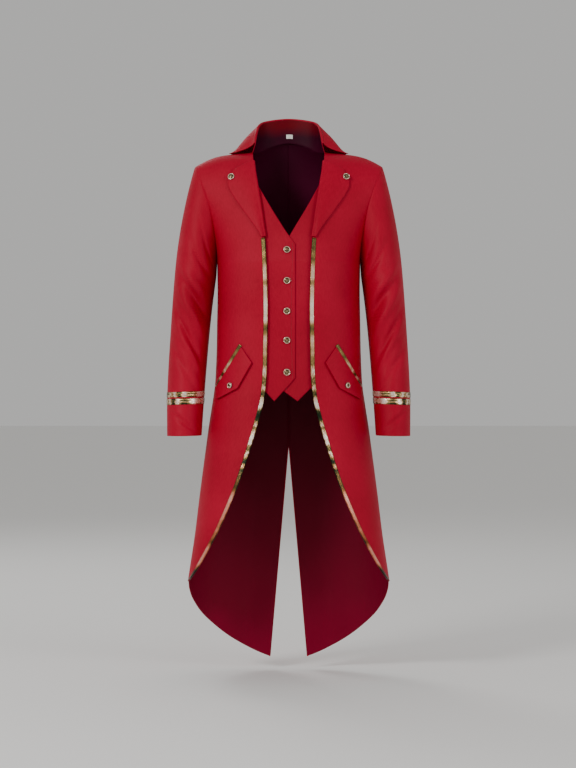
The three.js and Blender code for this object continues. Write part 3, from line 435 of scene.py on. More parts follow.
# Sheets: a grid of points with the way each faces, and how far each lies along and across.
class Sheet:
    def __init__(self, points, normals=None, outwards=None, closed=False):
        self.points, self.closed = points, closed
        self.normals = grid_normals(points, outwards, closed) if normals is None else normals
        self.ring = wrapped(points) if closed else points
        step = np.linalg.norm(np.diff(self.ring, axis=1), axis=-1)
        self.across = np.concatenate([0 * step[:, :1], np.cumsum(step, axis=1)], axis=1)
        drop = np.linalg.norm(np.diff(points, axis=0), axis=-1)
        self.down = np.concatenate([0 * drop[:1], np.cumsum(drop, axis=0)])

    def flat(self):
        """The (width, length, area) of the flat piece, in metres."""
        ring = self.ring
        a, b = ring[1:, 1:] - ring[:-1, :-1], ring[1:, :-1] - ring[:-1, 1:]
        area = 0.5 * np.linalg.norm(np.cross(a, b), axis=-1).sum()
        return self.across[:, -1].max() * 1e-3, self.down[-1].max() * 1e-3, area * 1e-6

    def on(self, mirror):
        """The sheet on the side of the coat that mirror turns it to."""
        return Sheet(self.points * mirror, self.normals * mirror, closed=self.closed)

    def at(self, row, column_at):
        """Points and normals between the grid's lines."""
        rows, columns = self.points.shape[:2]
        row = np.clip(row, 0, rows - 1)
        i = np.minimum(np.floor(row).astype(int), rows - 2)
        limit = columns if self.closed else columns - 1
        j = np.minimum(np.floor(column_at).astype(int), limit - 1)
        u, v = (row - i)[..., None], (column_at - j)[..., None]
        k = (j + 1) % columns
        found = []
        for grid in (self.points, self.normals):
            top = lerp(grid[i, j], grid[i, k], v)
            found.append(lerp(top, lerp(grid[i + 1, j], grid[i + 1, k], v), u))
        return found[0], unit(found[1])


def grid_normals(points, outwards, closed):
    if closed:
        ring = np.concatenate([points[:, -1:], points, points[:, :1]], axis=1)
        across = ring[:, 2:] - ring[:, :-2]
    else:
        across = np.gradient(points, axis=1)
    normal = unit(np.cross(across, np.gradient(points, axis=0)))
    return normal if (normal * outwards(points)).sum() > 0 else -normal


# Meshes
def quad_ids(ids):
    return np.stack([ids[:-1, :-1], ids[1:, :-1], ids[1:, 1:], ids[:-1, 1:]], axis=-1).reshape(-1, 4)


def volume_of(points, faces):
    volume = 0.0
    for a, b, c in ((0, 1, 2), (0, 2, 3)):
        p, q, r = points[faces[:, a]], points[faces[:, b]], points[faces[:, c]]
        volume += (p * np.cross(q, r)).sum()
    return volume


def put_in_scene(name, data):
    obj = bpy.data.objects.new(name, data)
    bpy.context.scene.collection.objects.link(obj)
    return obj


def make_object(name, points, faces, uvs, finish):
    """A smooth mesh object at the origin. faces are quads, and uvs are places on the flat cloth."""
    if volume_of(points, faces) < 0:
        faces, uvs = faces[:, ::-1], uvs[:, ::-1]
    mesh = bpy.data.meshes.new(name)
    mesh.vertices.add(len(points))
    mesh.vertices.foreach_set("co", (points * 1e-3).astype(np.float32).ravel())
    mesh.loops.add(faces.size)
    mesh.loops.foreach_set("vertex_index", np.ascontiguousarray(faces, np.int32).ravel())
    mesh.polygons.add(len(faces))
    mesh.polygons.foreach_set("loop_start", np.arange(0, faces.size, 4, dtype=np.int32))
    mesh.update(calc_edges=True)
    layer = mesh.uv_layers.new(name="cloth")
    layer.data.foreach_set("uv", np.ascontiguousarray(uvs * 1e-3, np.float32).ravel())
    mesh.polygons.foreach_set("use_smooth", np.ones(len(faces), bool))
    mesh.materials.append(finish)
    mesh.validate()
    return put_in_scene(name, mesh)


def wall(name, sheet, outer, inner, finish):
    """A closed wall between two faces of a sheet, with rounded edges."""
    rows, columns = sheet.points.shape[:2]
    outer = np.broadcast_to(outer, (rows, columns))[..., None]
    inner = np.broadcast_to(inner, (rows, columns))[..., None]
    top = sheet.points + sheet.normals * outer
    bottom = sheet.points + sheet.normals * inner
    ids = np.arange(rows * columns).reshape(rows, columns)
    u = sheet.across if sheet.closed else sheet.across[:, :columns]
    v = sheet.down
    if sheet.closed:
        ids, v = wrapped(ids), wrapped(v)
    uv = np.stack([u, v], axis=-1)
    count = rows * columns
    corner = np.arange(ids.size).reshape(ids.shape)
    grid = quad_ids(corner)
    faces = [ids.ravel()[grid], ids.ravel()[grid][:, ::-1] + count]
    uvs = [uv.reshape(-1, 2)[grid], uv.reshape(-1, 2)[grid][:, ::-1]]
    points = [top.reshape(-1, 3), bottom.reshape(-1, 3)]
    start = 2 * count
    for loop in border_loops(ids.shape, sheet.closed):
        i, j = loop.T
        k = j % columns
        i_in = np.clip(i, 1, rows - 2)
        k_in = k if sheet.closed else np.clip(k, 1, columns - 2)
        away = unit(sheet.points[i, k] - sheet.points[i_in, k_in])
        thick = (outer - inner)[i, k]
        middle = (top[i, k] + bottom[i, k]) / 2 + away * thick * RIM
        a, b = ids[i, j], np.arange(start, start + len(loop))
        b[-1] = b[0]
        points.append(middle[:-1])
        start += len(loop) - 1
        flat_uv = uv[i, j]
        for p, q in ((a, b), (b, a + count)):
            faces.append(np.stack([p[:-1], p[1:], q[1:], q[:-1]], axis=-1))
            uvs.append(np.stack([flat_uv[:-1], flat_uv[1:], flat_uv[1:], flat_uv[:-1]], axis=1))
    return make_object(name, np.concatenate(points), np.concatenate(faces), np.concatenate(uvs), finish)


def border_loops(shape, closed):
    """Loops of (row, column) round a grid's border, in the order in which a rim's faces run."""
    rows, columns = shape
    last_row, last_column = rows - 1, columns - 1
    across, down = np.arange(columns), np.arange(rows)
    first = np.stack([0 * across, across], axis=1)
    final = np.stack([0 * across + last_row, across], axis=1)[::-1]
    if closed:
        return [first, final]
    right = np.stack([down, 0 * down + last_column], axis=1)
    left = np.stack([down, 0 * down], axis=1)[::-1]
    return [np.concatenate([first, right[1:], final[1:], left[1:]])]


def swept(name, rings, finish):
    """A closed solid through closed rings of points, with its ends gathered to their middles."""
    gathered, count = 0.02, rings.shape[1]
    ends = [lerp(end.mean(axis=1, keepdims=True), end, gathered) for end in (rings[:1], rings[-1:])]
    full = np.concatenate([ends[0], rings, ends[1]])
    rows, sheet = len(full), Sheet(full, full, closed=True)
    ids = wrapped(np.arange(rows * count).reshape(rows, count))
    v = sheet.down.mean(axis=1, keepdims=True)
    uv = np.stack(np.broadcast_arrays(sheet.across, v), axis=-1).reshape(-1, 2)
    grid = quad_ids(np.arange(ids.size).reshape(ids.shape))
    half = count // 2
    k = np.arange(half - 1)
    low = np.stack([k, k + 1, count - 2 - k, count - 1 - k], axis=1)
    caps = [low[:, ::-1], low + (rows - 1) * count]
    faces = np.concatenate([ids.ravel()[grid], *caps])
    uvs = np.concatenate([uv[grid], *(np.zeros((len(c), 4, 2)) for c in caps)])
    return make_object(name, full.reshape(-1, 3), faces, uvs, finish)


# Panels of the body
HEM_Z = -1007
SHOULDER_NORMAL = unit(
    np.array([UPPER_BODY["centre_z"][0] - ARMHOLE["top_z"], 0, ARMHOLE["top_x"]], float)
)


def turn_of(x, oval):
    return np.arcsin(np.clip(x / oval, 0, 1) ** (SQUARE / 2))


def x_of_turn(turn, oval):
    return oval * np.sin(np.clip(turn, 0, np.pi / 2)) ** (2 / SQUARE)


def seam_normals(sheet, w):
    """Turns the top of a panel's sheet towards the direction that both its sides share."""
    x, y = sheet.points[..., 0], sheet.points[..., 1]
    neck = vectors(x / NECK["half_width"], (y - BODY_Y) / UPPER_BODY["neck_fill"][0], NECK["lean"])
    shared = np.where((x < NECK["half_width"] - 1)[..., None], unit(neck), SHOULDER_NORMAL)
    near = (1 - smooth(w / SHOULDER["turn_row"]))[:, None, None]
    sheet.normals = unit(lerp(sheet.normals, shared, near))


def front_sheet():
    closer_at_hem, edge_rounds = 1.15, 10
    s = np.linspace(0, 1, FINE["below"] + 1)[1:]
    lower = level_w(lerp(ARMHOLE["bottom_z"], HEM_Z, 1 - (1 - s) ** closer_at_hem))
    w = np.concatenate([np.linspace(0, UNDERARM, FINE["arm"] + 1), lower])
    edge = np.full(len(w), float(NECK["half_width"]))
    for _ in range(edge_rounds):
        edge = front_edge_x(body_point(w, edge, FRONT_SIDE)[:, 2])
    row = body_row(w[:, None], FRONT_SIDE)
    turn = lerp(
        turn_of(edge[:, None], row["oval"]),
        turn_of(row["side_x"], row["oval"]),
        np.linspace(0, 1, FINE["front"] + 1),
    )
    points = body_point(w[:, None], x_of_turn(turn, row["oval"]), FRONT_SIDE, row)
    sheet = Sheet(points, outwards=lambda p: p * [0.6, 1, 0] - [0, BODY_Y + 20, 0])
    seam_normals(sheet, np.minimum(w, UNDERARM))
    sheet.w, sheet.edge_x = w, edge
    return sheet


def vent_x(z):
    share = (z - VENT["top_z"]) / (VENT["tip_z"] - VENT["top_z"])
    return np.maximum(SEAM / 2, VENT["tip_x"] * share)


def tail_lines(from_z, outer_x, outer_z, u):
    """Lines across the back, from the centre edge to points of the side seam or the hem."""
    from_z, outer_x, outer_z = from_z[:, None], outer_x[:, None], outer_z[:, None]
    from_x = vent_x(from_z)
    middle = body_row(level_w((from_z + outer_z) / 2), BACK_SIDE)
    oval = np.maximum(middle["side_x"], outer_x)
    x = x_of_turn(lerp(turn_of(from_x, oval), turn_of(outer_x, oval), u), oval)
    x[:, -1] = outer_x[:, 0]
    z = lerp(from_z, outer_z, (x - from_x) / (outer_x - from_x))
    row = body_row(level_w(z), BACK_SIDE)
    return body_point(level_w(z), np.minimum(x, row["side_x"]), BACK_SIDE, row)


def back_sheet():
    neck, shoulder = FINE["neck"], FINE["shoulder"]
    j = np.arange(neck + shoulder + 1)
    u = j / (neck + shoulder)
    w = np.linspace(0, UNDERARM, FINE["arm"] + 1)[:, None]
    row = body_row(w, BACK_SIDE)
    on_neck = NECK["half_width"] * np.sin(np.pi / 2 * np.minimum(j / neck, 1))
    beyond = lerp(NECK["half_width"], row["side_x"], np.clip((j - neck) / shoulder, 0, 1))
    even = x_of_turn(u * turn_of(row["side_x"], row["oval"]), row["oval"])
    x = lerp(np.where(j < neck, on_neck, beyond), even, smooth(w / 3))
    upper = body_point(w, np.maximum(SEAM / 2, x), BACK_SIDE, row)
    end_z, tail_share = TAIL_HEM["z"][0], 0.1
    tail_top = lerp(end_z, VENT["tip_z"], tail_share)
    s = np.linspace(0, 1, FINE["below"] + 1)[1:]
    z = lerp(ARMHOLE["bottom_z"], end_z, s)
    side = body_row(level_w(z), BACK_SIDE)["side_x"]
    lower = tail_lines(lerp(ARMHOLE["bottom_z"], tail_top, s), side, z, u)
    t = np.linspace(0, 1, FINE["tail"] + 1)[1:]
    at = t * (len(TAIL_HEM["z"]) - 1)
    hem = column(TAIL_HEM["x"], at), column(TAIL_HEM["z"], at)
    tail = tail_lines(lerp(tail_top, VENT["tip_z"], t), *hem, u)
    points = np.concatenate([upper, lower, tail])
    sheet = Sheet(points, outwards=lambda p: p * [0.6, 1, 0] - [0, BODY_Y - 20, 0])
    sheet.normals[:, 0, 0] = 0
    rows = np.full(len(points), UNDERARM)
    rows[: FINE["arm"] + 1] = w[:, 0]
    seam_normals(sheet, rows)
    return sheet


def sleeve_sheet():
    arm = FINE["arm"]
    around = 2 * arm
    k = np.arange(around)
    in_front = k <= arm
    w = np.where(in_front, k, around - k) * UNDERARM / arm
    seam = np.where(in_front[:, None], armhole_point(w, FRONT_SIDE), armhole_point(w, BACK_SIDE))
    rise, run = ARMHOLE["top_z"] - ARMHOLE["bottom_z"], ARMHOLE["bottom_x"] - ARMHOLE["top_x"]
    axis = unit(np.array([rise, 0, run], float))
    seam = seam - axis * SEAM * np.sign(axis[0])
    row = np.linspace(0, len(SLEEVE["y"]) - 1, FINE["rings"] + 1)[:, None]
    get = {name: column(values, row) for name, values in SLEEVE.items()}
    turn = 2 * np.pi * k / around
    share = (1 + np.cos(turn)) / 2
    rings = vectors(
        lerp(get["inner_x"], get["outer_x"], share),
        get["y"] - get["half_depth"] * np.sin(turn),
        lerp(get["inner_z"], get["outer_z"], share),
    )
    blend_rows = 3
    keep = np.maximum(0, 1 - row / blend_rows) ** 2
    points = rings + (seam - rings[0]) * keep[..., None]
    centre = points.mean(axis=1, keepdims=True)
    points = points + unit(points - centre) * sleeve_folds(row, 360 * k / around)[..., None]
    return Sheet(points, outwards=lambda p: p - centre, closed=True)


def sleeve_folds(row, angle):
    """How far the creases move the sleeve out. Its outline from the front stays as it is."""
    end_row, fade_rows, height = 10.1, 0.5, 0
    for at, middle, slope, rise, width, reach in zip(*SLEEVE_FOLDS.values()):
        across = (row - at - slope * (angle - middle)) / width
        height = height + rise * np.exp(-(across**2) - ((angle - middle) / reach) ** 2)
    return height * np.sin(np.pi * angle / 180) ** 2 * smooth((end_row - row) / fade_rows)


def meet_at_armhole(front, back, sleeve):
    """Turns the walls that meet in the armhole seam so that they meet in a mitre."""
    arm = FINE["arm"]
    own = sleeve.normals[0].copy()
    k = np.arange(arm + 1)
    for panel, ring in ((back, (2 * arm - k) % (2 * arm)), (front, k)):
        body = panel.normals[: arm + 1, -1].copy()
        mine = own[ring]
        dot = (body * mine).sum(-1, keepdims=True)
        pull, length = 1 + np.minimum(dot, 0), 1 + np.maximum(dot, 0)
        panel.normals[: arm + 1, -1] = (body + mine * pull) / length
        sleeve.normals[0][ring] = (mine + body * pull) / length


# Pieces laid on the panels
def on_front(x, z, height):
    at, facing = front_at(x, z)
    return at + facing * np.broadcast_to(height, at.shape[:-1])[..., None], facing


def lapel_sheet():
    lift, tucked = LAPEL_LIE["lift"], LAPEL_LIE["tucked"]
    at = np.linspace(0, len(LAPEL["roll_z"]) - 1, LAPEL_GRID["down"] + 1)[:, None]
    roll_z, outer_x, outer_z = (column(values, at) for values in LAPEL.values())
    roll_x = front_edge_x(roll_z)
    roll, facing = front_at(roll_x, roll_z)
    behind, behind_facing = on_front(roll_x + tucked, roll_z, -CLOTH - lift)
    towards = behind - roll
    towards = unit(towards - (towards * facing).sum(-1, keepdims=True) * facing)
    turn = np.radians(np.linspace(-165, -12, LAPEL_GRID["turn"]))[None, :, None]
    away = towards * np.sin(turn) + facing * np.cos(turn)
    round_edge = roll - facing * CLOTH / 2 + away * (CLOTH / 2 + lift + LAPEL_LIE["room"])
    v = np.linspace(0, 1, LAPEL_GRID["across"] + 1)[1:]
    height = lift + LAPEL_LIE["lip"] * v + LAPEL_LIE["belly"] * np.sin(np.pi * v) ** 0.8
    lying, lying_facing = on_front(lerp(roll_x, outer_x, v), lerp(roll_z, outer_z, v), height)
    points = np.concatenate([behind, round_edge, lying], axis=1)
    normals = [-behind_facing, np.broadcast_to(away, round_edge.shape), lying_facing]
    return Sheet(points, np.concatenate(normals, axis=1))


def flap_sheet():
    u = np.linspace(0, 1, FLAP_GRID["across"])
    v = np.linspace(0, 1, FLAP_GRID["down"])[:, None]
    low = [FLAP["bottom_inner"], FLAP["bottom_bend"], FLAP["bottom_outer"]]
    places = []
    for top_inner, top_outer, bottom in zip(FLAP["top_inner"], FLAP["top_outer"], zip(*low)):
        top = lerp(top_inner, top_outer, u)
        places.append(lerp(top, np.interp(u, [0, FLAP["bend_at"], 1], bottom), v))
    puff = FLAP["puff"] * np.sin(np.pi * v) * np.sin(np.pi * u) ** 0.6
    return Sheet(*on_front(*places, FLAP["lift"] + FLAP["lip"] * v**2 + puff))


def welt_sheet():
    (x0, z0), (x1, z1) = FLAP["top_inner"], FLAP["top_outer"]
    length = math.hypot(x1 - x0, z1 - z0)
    t = lerp(WELT["start"], WELT["end"], np.linspace(0, 1, WELT_GRID["along"]))

    def laid(off):
        z = lerp(z0, z1, t) + off * (x1 - x0) / length
        x = lerp(x0, x1, t) + off * (z0 - z1) / length
        x = np.minimum(x, body_row(level_w(z), FRONT_SIDE)["side_x"] - 1)
        return on_front(x, z, FLAP["lift"])

    near, probe = WELT["gap"], WELT["probe"]
    stretch = np.linalg.norm(laid(near + probe)[0] - laid(near)[0], axis=-1) / probe
    off = near + np.linspace(WELT["width"], 0, WELT_GRID["across"])[:, None] / stretch
    return Sheet(*laid(off))


def edge_tape_rings(front):
    """Rings round the tape that is folded over the front's free edge."""
    rows = np.flatnonzero(front.points[:, 0, 2] < EDGE_TAPE["top_z"])
    edge, facing = front.points[rows, 0], front.normals[rows, 0]
    square = np.cross(facing, unit(np.gradient(edge, axis=0)))
    square = unit(np.where(square[:, :1] < 0, -square, square))
    gap, room = EDGE_TAPE["gap"], front.across[rows, -1] * EDGE_TAPE["most_of_front"]
    reach = np.minimum(EDGE_TAPE["width"], room)[:, None]
    at, out = front_places(front, rows, reach * np.linspace(1, 0, EDGE_TAPE_GRID["flat"]))
    heights = (gap, gap + TAPE, -CLOTH - gap - TAPE, -CLOTH - gap)
    lower, outer, far, inside = (at + out * height for height in heights)
    turn = np.radians(np.linspace(80, -80, EDGE_TAPE_GRID["bend"]))[None, :, None]
    middle = (edge - facing * CLOTH / 2)[:, None]

    def bend(radius):
        away = square[:, None] * np.cos(turn) * (radius * EDGE_TAPE["squash"])
        return middle + facing[:, None] * np.sin(turn) * radius - away

    wide, tight = bend(CLOTH / 2 + gap + TAPE), bend(CLOTH / 2 + gap)
    return np.concatenate([outer, wide, far[:, ::-1], inside, tight[:, ::-1], lower[:, ::-1]], axis=1)


def front_places(front, rows, reach):
    """Points and normals of the front at a distance from its free edge, row by row."""
    every = np.arange(front.points.shape[1])
    columns = np.stack([np.interp(r, front.across[i], every) for i, r in zip(rows, reach)])
    return front.at(np.broadcast_to(rows[:, None], columns.shape).astype(float), columns)


def waistcoat_sheet(data, underlap):
    """A waistcoat front. underlap is how much deeper its free edge lies."""
    xs = data["x"]
    x = np.unique(np.concatenate([xs, np.linspace(xs[0], xs[-1], WAISTCOAT_GRID["across"])]))
    s = np.linspace(0, 1, WAISTCOAT_GRID["down"])[:, None]
    z = lerp(np.interp(x, xs, data["top_z"]), np.interp(x, xs, data["hem_z"]), s)
    under_edge, level_to = xs[-2], xs[-2] + WAISTCOAT_DEPTH["level_for"]
    share = np.clip((x - level_to) / (xs[-1] - level_to), 0, 1)
    depth = lerp(WAISTCOAT_DEPTH["middle"], WAISTCOAT_DEPTH["seam"], share)
    depth = depth + underlap * np.clip(1 - x / under_edge, 0, 1)
    return Sheet(*on_front(np.broadcast_to(x, z.shape), z, -depth))


def cuff_tape_sheet(sleeve, rows):
    per_row = FINE["rings"] / (len(SLEEVE["y"]) - 1)
    row = np.linspace(*rows, CUFF_TAPE_LINES)[:, None] * per_row
    row, k = np.broadcast_arrays(row, np.arange(sleeve.points.shape[1]))
    return Sheet(*sleeve.at(row, k), closed=True)


def lining_sheet(back):
    """The back's lining, which ends a little short of the vent, the hem and the side seam."""
    seat, blend_z, blend_rows = LINING_SEAT, -12, 3
    rows, columns = back.points.shape[:2]
    row = np.concatenate([np.arange(rows - 2), [rows - 1 - seat["hem_row"]]])
    vent = smooth((back.points[:, 0, 2] - VENT["top_z"]) / blend_z)[row.astype(int)]
    hem = smooth((row - FINE["arm"] - FINE["below"]) / blend_rows)
    start = seat["short_of_vent"] * vent
    end = columns - 1 - seat["short_of_side"] - seat["short_of_hem"] * hem
    column_at = lerp(start[:, None], end[:, None], np.linspace(0, 1, columns))
    return Sheet(*back.at(np.broadcast_to(row[:, None], column_at.shape), column_at))


def collar_sheet(front):
    grid = COLLAR_GRID
    s, t = np.linspace(0, 1, grid["behind"]), np.linspace(0, 1, grid["beside"] + 1)[1:]
    shoulder_row = len(COLLAR["fold_x"]) - 2
    x = NECK["half_width"] * np.sin(np.pi / 2 * s)
    on_back = body_point(np.zeros(len(s)), x, BACK_SIDE)
    back_share = (on_back[:, 1] - BODY_Y) / UPPER_BODY["neck_fill"][0]
    neck = unit(vectors(x / NECK["half_width"], back_share, NECK["lean"]))
    w = t * COLLAR_SEAT["front_row"] * CAD_ROW
    on_edge = body_point(w, np.interp(w, front.w, front.edge_x), FRONT_SIDE)
    inside, drop = COLLAR_SEAT["inside"], COLLAR_SEAT["drop"]
    seat = np.concatenate([on_back - neck * inside, on_edge - neck[-1] * inside * (1 - t[:, None])])
    seat[:, 2] += np.concatenate([0 * s - drop, lerp(-drop, COLLAR_SEAT["front_rise"], t)])
    row = np.concatenate([s * shoulder_row, shoulder_row + t])
    get = {}
    for name, values in COLLAR.items():
        opposite = -values[1] if name in ("fold_x", "edge_x") else values[1]
        get[name] = column(np.concatenate([[opposite], values]), row + 1)
    top = vectors(get["fold_x"], get["fold_y"], get["fold_z"])
    edge_w, behind = np.abs(get["edge_row"]) * CAD_ROW, (get["edge_row"] >= 0)[:, None]
    near = (1 - smooth(edge_w / SHOULDER["turn_row"]))[:, None]
    found = []
    for side in (BACK_SIDE, FRONT_SIDE):
        facing = facing_at(np.maximum(edge_w, 0.03), get["edge_x"], side)
        facing = unit(lerp(facing, SHOULDER_NORMAL, near))
        found.append(body_point(edge_w, get["edge_x"], side) + facing * COLLAR_SEAT["rest"])
    edge = np.where(behind, *found)
    out = unit((edge - seat) * [1, 1, 0])
    radius = NECK["fold_radius"]
    stand = [lerp(seat, top, v) for v in np.linspace(0, 1, grid["stand"])]
    fold = [
        top + out * (radius + radius * math.cos(a)) + UP * (radius * math.sin(a))
        for a in np.radians(np.linspace(160, 0, grid["fold"]))
    ]
    swell = unit(out + UP * COLLAR_SEAT["swell_up"])
    leaf = [
        lerp(fold[-1], edge, v) + swell * (get["bow"] * math.sin(math.pi * v**0.8))[:, None]
        for v in np.linspace(0, 1, grid["leaf"])[1:]
    ]
    left = np.stack([*stand, *fold, *leaf], axis=1)
    points = np.concatenate([left[:0:-1] * FLIP, left])
    outs = np.concatenate([out[:0:-1] * FLIP, out])[:, None]
    on_stand = (np.arange(points.shape[1]) < len(stand))[None, :, None]
    return Sheet(points, outwards=lambda p: np.where(on_stand, -outs, outs + UP))


def label_sheet(collar):
    x = LABEL["x"] + np.linspace(-1, 1, LABEL_GRID["across"]) * LABEL["half_width"]
    xs = collar.points[:, LABEL["seat_line"], 0]
    station = np.interp(x, xs, np.arange(len(xs)))
    share = np.linspace(LABEL["to_row"], LABEL["from_row"], LABEL_GRID["down"])[:, None]
    station, share = np.broadcast_arrays(station, share * (COLLAR_GRID["stand"] - 1))
    return Sheet(*collar.at(station, share))


# Finishes
MATH, RANGE, MIX = "ShaderNodeMath", "ShaderNodeMapRange", "ShaderNodeMix"
RAMP, BUMP, AXES = "ShaderNodeValToRGB", "ShaderNodeBump", "ShaderNodeSeparateXYZ"


def linear(hex_colour):
    """An sRGB hex colour as linear values."""
    parts = [int(hex_colour[i : i + 2], 16) / 255 for i in (1, 3, 5)]
    return (*[c / 12.92 if c <= 0.04045 else ((c + 0.055) / 1.055) ** 2.4 for c in parts], 1.0)


def set_inputs(node, inputs):
    """Gives a node's inputs, by name or in order, their values or links.

    A link comes from a socket, or from a node, which stands for its first output.
    """
    for key, value in inputs.items() if isinstance(inputs, dict) else enumerate(inputs):
        if isinstance(value, bpy.types.Node):
            value = value.outputs[0]
        if isinstance(value, bpy.types.NodeSocket):
            node.id_data.links.new(value, node.inputs[key])
        else:
            node.inputs[key].default_value = value


def add_node(tree, kind, inputs=(), stops=(), **settings):
    """Adds a node with its links and settings. stops are a ramp's, as (position, hex colour)."""
    node = tree.nodes.new(kind)
    for name, value in settings.items():
        setattr(node, name, value)
    for _ in stops[2:]:
        node.color_ramp.elements.new(0.5)
    for i, (position, colour) in enumerate(stops):
        element = node.color_ramp.elements[i]
        element.position, element.color = position, linear(colour)
    set_inputs(node, inputs)
    return node


def material(name, finish):
    """A material whose shader has the inputs that the finish makes in its tree."""
    made = bpy.data.materials.new(name)
    made.use_nodes = True
    set_inputs(made.node_tree.nodes["Principled BSDF"], finish(made.node_tree))
    return made


def ridges(tree, across, along, spacing_mm):
    """Even ridges of a given spacing, from -1 to 1, over the cloth laid flat."""
    turns = 2 * math.pi / (spacing_mm * 1e-3 * math.hypot(across, along))
    flat_place = add_node(tree, "ShaderNodeUVMap", uv_map="cloth")
    inputs = flat_place, (across * turns, along * turns, 0)
    phase = add_node(tree, "ShaderNodeVectorMath", inputs, operation="DOT_PRODUCT")
    return add_node(tree, MATH, [phase.outputs["Value"]], operation="SINE")


def mottle(tree, size_mm, detail, stretch=None):
    """Soft patches of about a given size, in the object's space or stretched along the cloth."""
    place = add_node(tree, "ShaderNodeTexCoord").outputs["Object"]
    if stretch is not None:
        flat_place = add_node(tree, "ShaderNodeUVMap", uv_map="cloth")
        place = add_node(tree, "ShaderNodeMapping", {"Vector": flat_place, "Scale": stretch})
    inputs = {"Vector": place, "Scale": 1000 / size_mm, "Detail": detail}
    return add_node(tree, "ShaderNodeTexNoise", inputs)


# The inputs of a RANGE are a value, the range that it comes from, and the range that it goes to.
def satin_twill(tree):
    """Worsted satin twill, woven with steep fine ribs: a dense dyed cloth with a quiet sheen."""
    # The ribs of the real cloth are 0.6 mm apart. They are drawn at 1.8 mm, so that they show.
    ribs, picks = ridges(tree, 1.0, 0.55, 1.8), ridges(tree, -0.3, 1.0, 1.5)
    dye, slub = mottle(tree, 160, 3), mottle(tree, 3.5, 3, stretch=(1.0, 0.3, 1.0))
    picks = add_node(tree, MATH, (picks, 0.15), operation="MULTIPLY")
    weave = add_node(tree, MATH, (ribs, 0.75, picks), operation="MULTIPLY_ADD")
    grain = add_node(tree, RANGE, (slub, 0, 1, 0.12, 0.38))
    cloud = add_node(tree, MATH, (dye, 0.5, grain), operation="MULTIPLY_ADD")
    shade = add_node(tree, MATH, (weave, 0.06, cloud), operation="MULTIPLY_ADD")
    stops = (0.32, "#94001e"), (0.5, "#a60026"), (0.7, "#b4002e")
    fibres = add_node(tree, BUMP, {"Height": slub, "Distance": 0.16e-3, "Strength": 0.5})
    woven = {"Height": weave, "Distance": 0.12e-3, "Strength": 0.6, "Normal": fibres}
    return {
        "Base Color": add_node(tree, RAMP, [shade], stops),
        "Roughness": add_node(tree, RANGE, (shade, 0.3, 0.7, 0.63, 0.49)),
        "Specular IOR Level": 0.14,
        "Sheen Weight": 0.03,
        "Sheen Roughness": 0.5,
        "Sheen Tint": linear("#ff1038"),
        "Normal": add_node(tree, BUMP, woven),
    }


def foil_ribbon(tree):
    """Lame ribbon, foil over a woven ground with sharp creases, and long bright and dark stretches of
    painted reflection.
    """
    flat_place = add_node(tree, "ShaderNodeUVMap", uv_map="cloth")
    across = add_node(tree, AXES, [flat_place]).outputs["X"]
    place = add_node(tree, "ShaderNodeTexCoord").outputs["Object"]
    height = add_node(tree, AXES, [place]).outputs["Z"]
    # The stretches of painted reflection are about 100 mm long, patches 25 mm, and creases 2 mm wide
    # and 9 mm long.
    stretches = mottle(tree, 100, 1.5, stretch=(0.3, 1.0, 1.0))
    patches = mottle(tree, 25, 1, stretch=(0.4, 1.0, 1.0))
    creases = mottle(tree, 2.2, 1.5, stretch=(1.0, 0.24, 1.0))
    # The ground's threads are 0.3 mm apart. They are drawn at 1.6 and 1.2 mm, so that they show.
    threads, ribs = ridges(tree, 1, 0, 1.6), ridges(tree, 0, 1, 1.2)
    # The painted reflections break into patches and creases where the ribbon bends, at the level of the
    # waist and the cuffs, and run smooth down the chest and the skirt.
    above = add_node(tree, RANGE, (height, -0.54, -0.48, 1.0, 0.2))
    below = add_node(tree, RANGE, (height, -0.78, -0.72, 0.25, 1.0))
    bent = add_node(tree, MATH, (above, below), operation="MULTIPLY")
    creased = add_node(tree, RANGE, (creases, 0.38, 0.58, -0.14, 0.08))
    patched = add_node(tree, RANGE, (patches, 0.4, 0.6, -0.24, 0.12))
    broken_reflections = add_node(tree, MATH, (creased, patched), operation="ADD")
    # A painted shade darkens both edges of the ribbon's pattern.
    off_middle = add_node(tree, MATH, (across, RIBBON_PATTERN / 2 * 1e-3), operation="SUBTRACT")
    off_middle = add_node(tree, MATH, [off_middle], operation="ABSOLUTE")
    border = add_node(tree, RANGE, (off_middle, 0.0032, 0.0044, 0.02, -0.15))
    painted_light_tone = add_node(tree, RANGE, (stretches, 0.4, 0.6, 0.4, 0.76))
    painted_light_tone = add_node(tree, MATH, (broken_reflections, bent, painted_light_tone), operation="MULTIPLY_ADD")
    painted_light_tone = add_node(tree, MATH, (threads, 0.035, painted_light_tone), operation="MULTIPLY_ADD")
    painted_light_tone = add_node(tree, MATH, (painted_light_tone, border), operation="ADD")
    # The ramp paints reflections: near-black olive and near-white peach stand in for dark and bright
    # surroundings mirrored in the foil.
    patina_and_dark_reflections = (0.26, "#14220f"), (0.38, "#4a4c26"), (0.5, "#a08148")
    gilt_with_painted_reflections = add_node(tree, RAMP, [painted_light_tone], (*patina_and_dark_reflections, (0.62, "#e8be9a"), (0.75, "#fff0e0")))
    # A painted pink reflection of the red cloth tints the foil down the skirt.
    rosy_reflection = add_node(tree, RANGE, (height, -0.82, -0.7, 1.0, 0.0))
    tint = {0: rosy_reflection, 6: gilt_with_painted_reflections, 7: linear("#f2b0a6")}
    crushed = add_node(tree, BUMP, {"Height": creases, "Distance": 0.5e-3, "Strength": 0.5})
    woven = {"Height": ribs, "Distance": 0.06e-3, "Strength": 0.5, "Normal": crushed}
    return {
        "Base Color": add_node(tree, MIX, tint, data_type="RGBA", blend_type="MULTIPLY").outputs[2],
        "Metallic": 0.75,
        "Roughness": add_node(tree, RANGE, (creases, 0.35, 0.65, 0.34, 0.2)),
        "Normal": add_node(tree, BUMP, woven),
    }


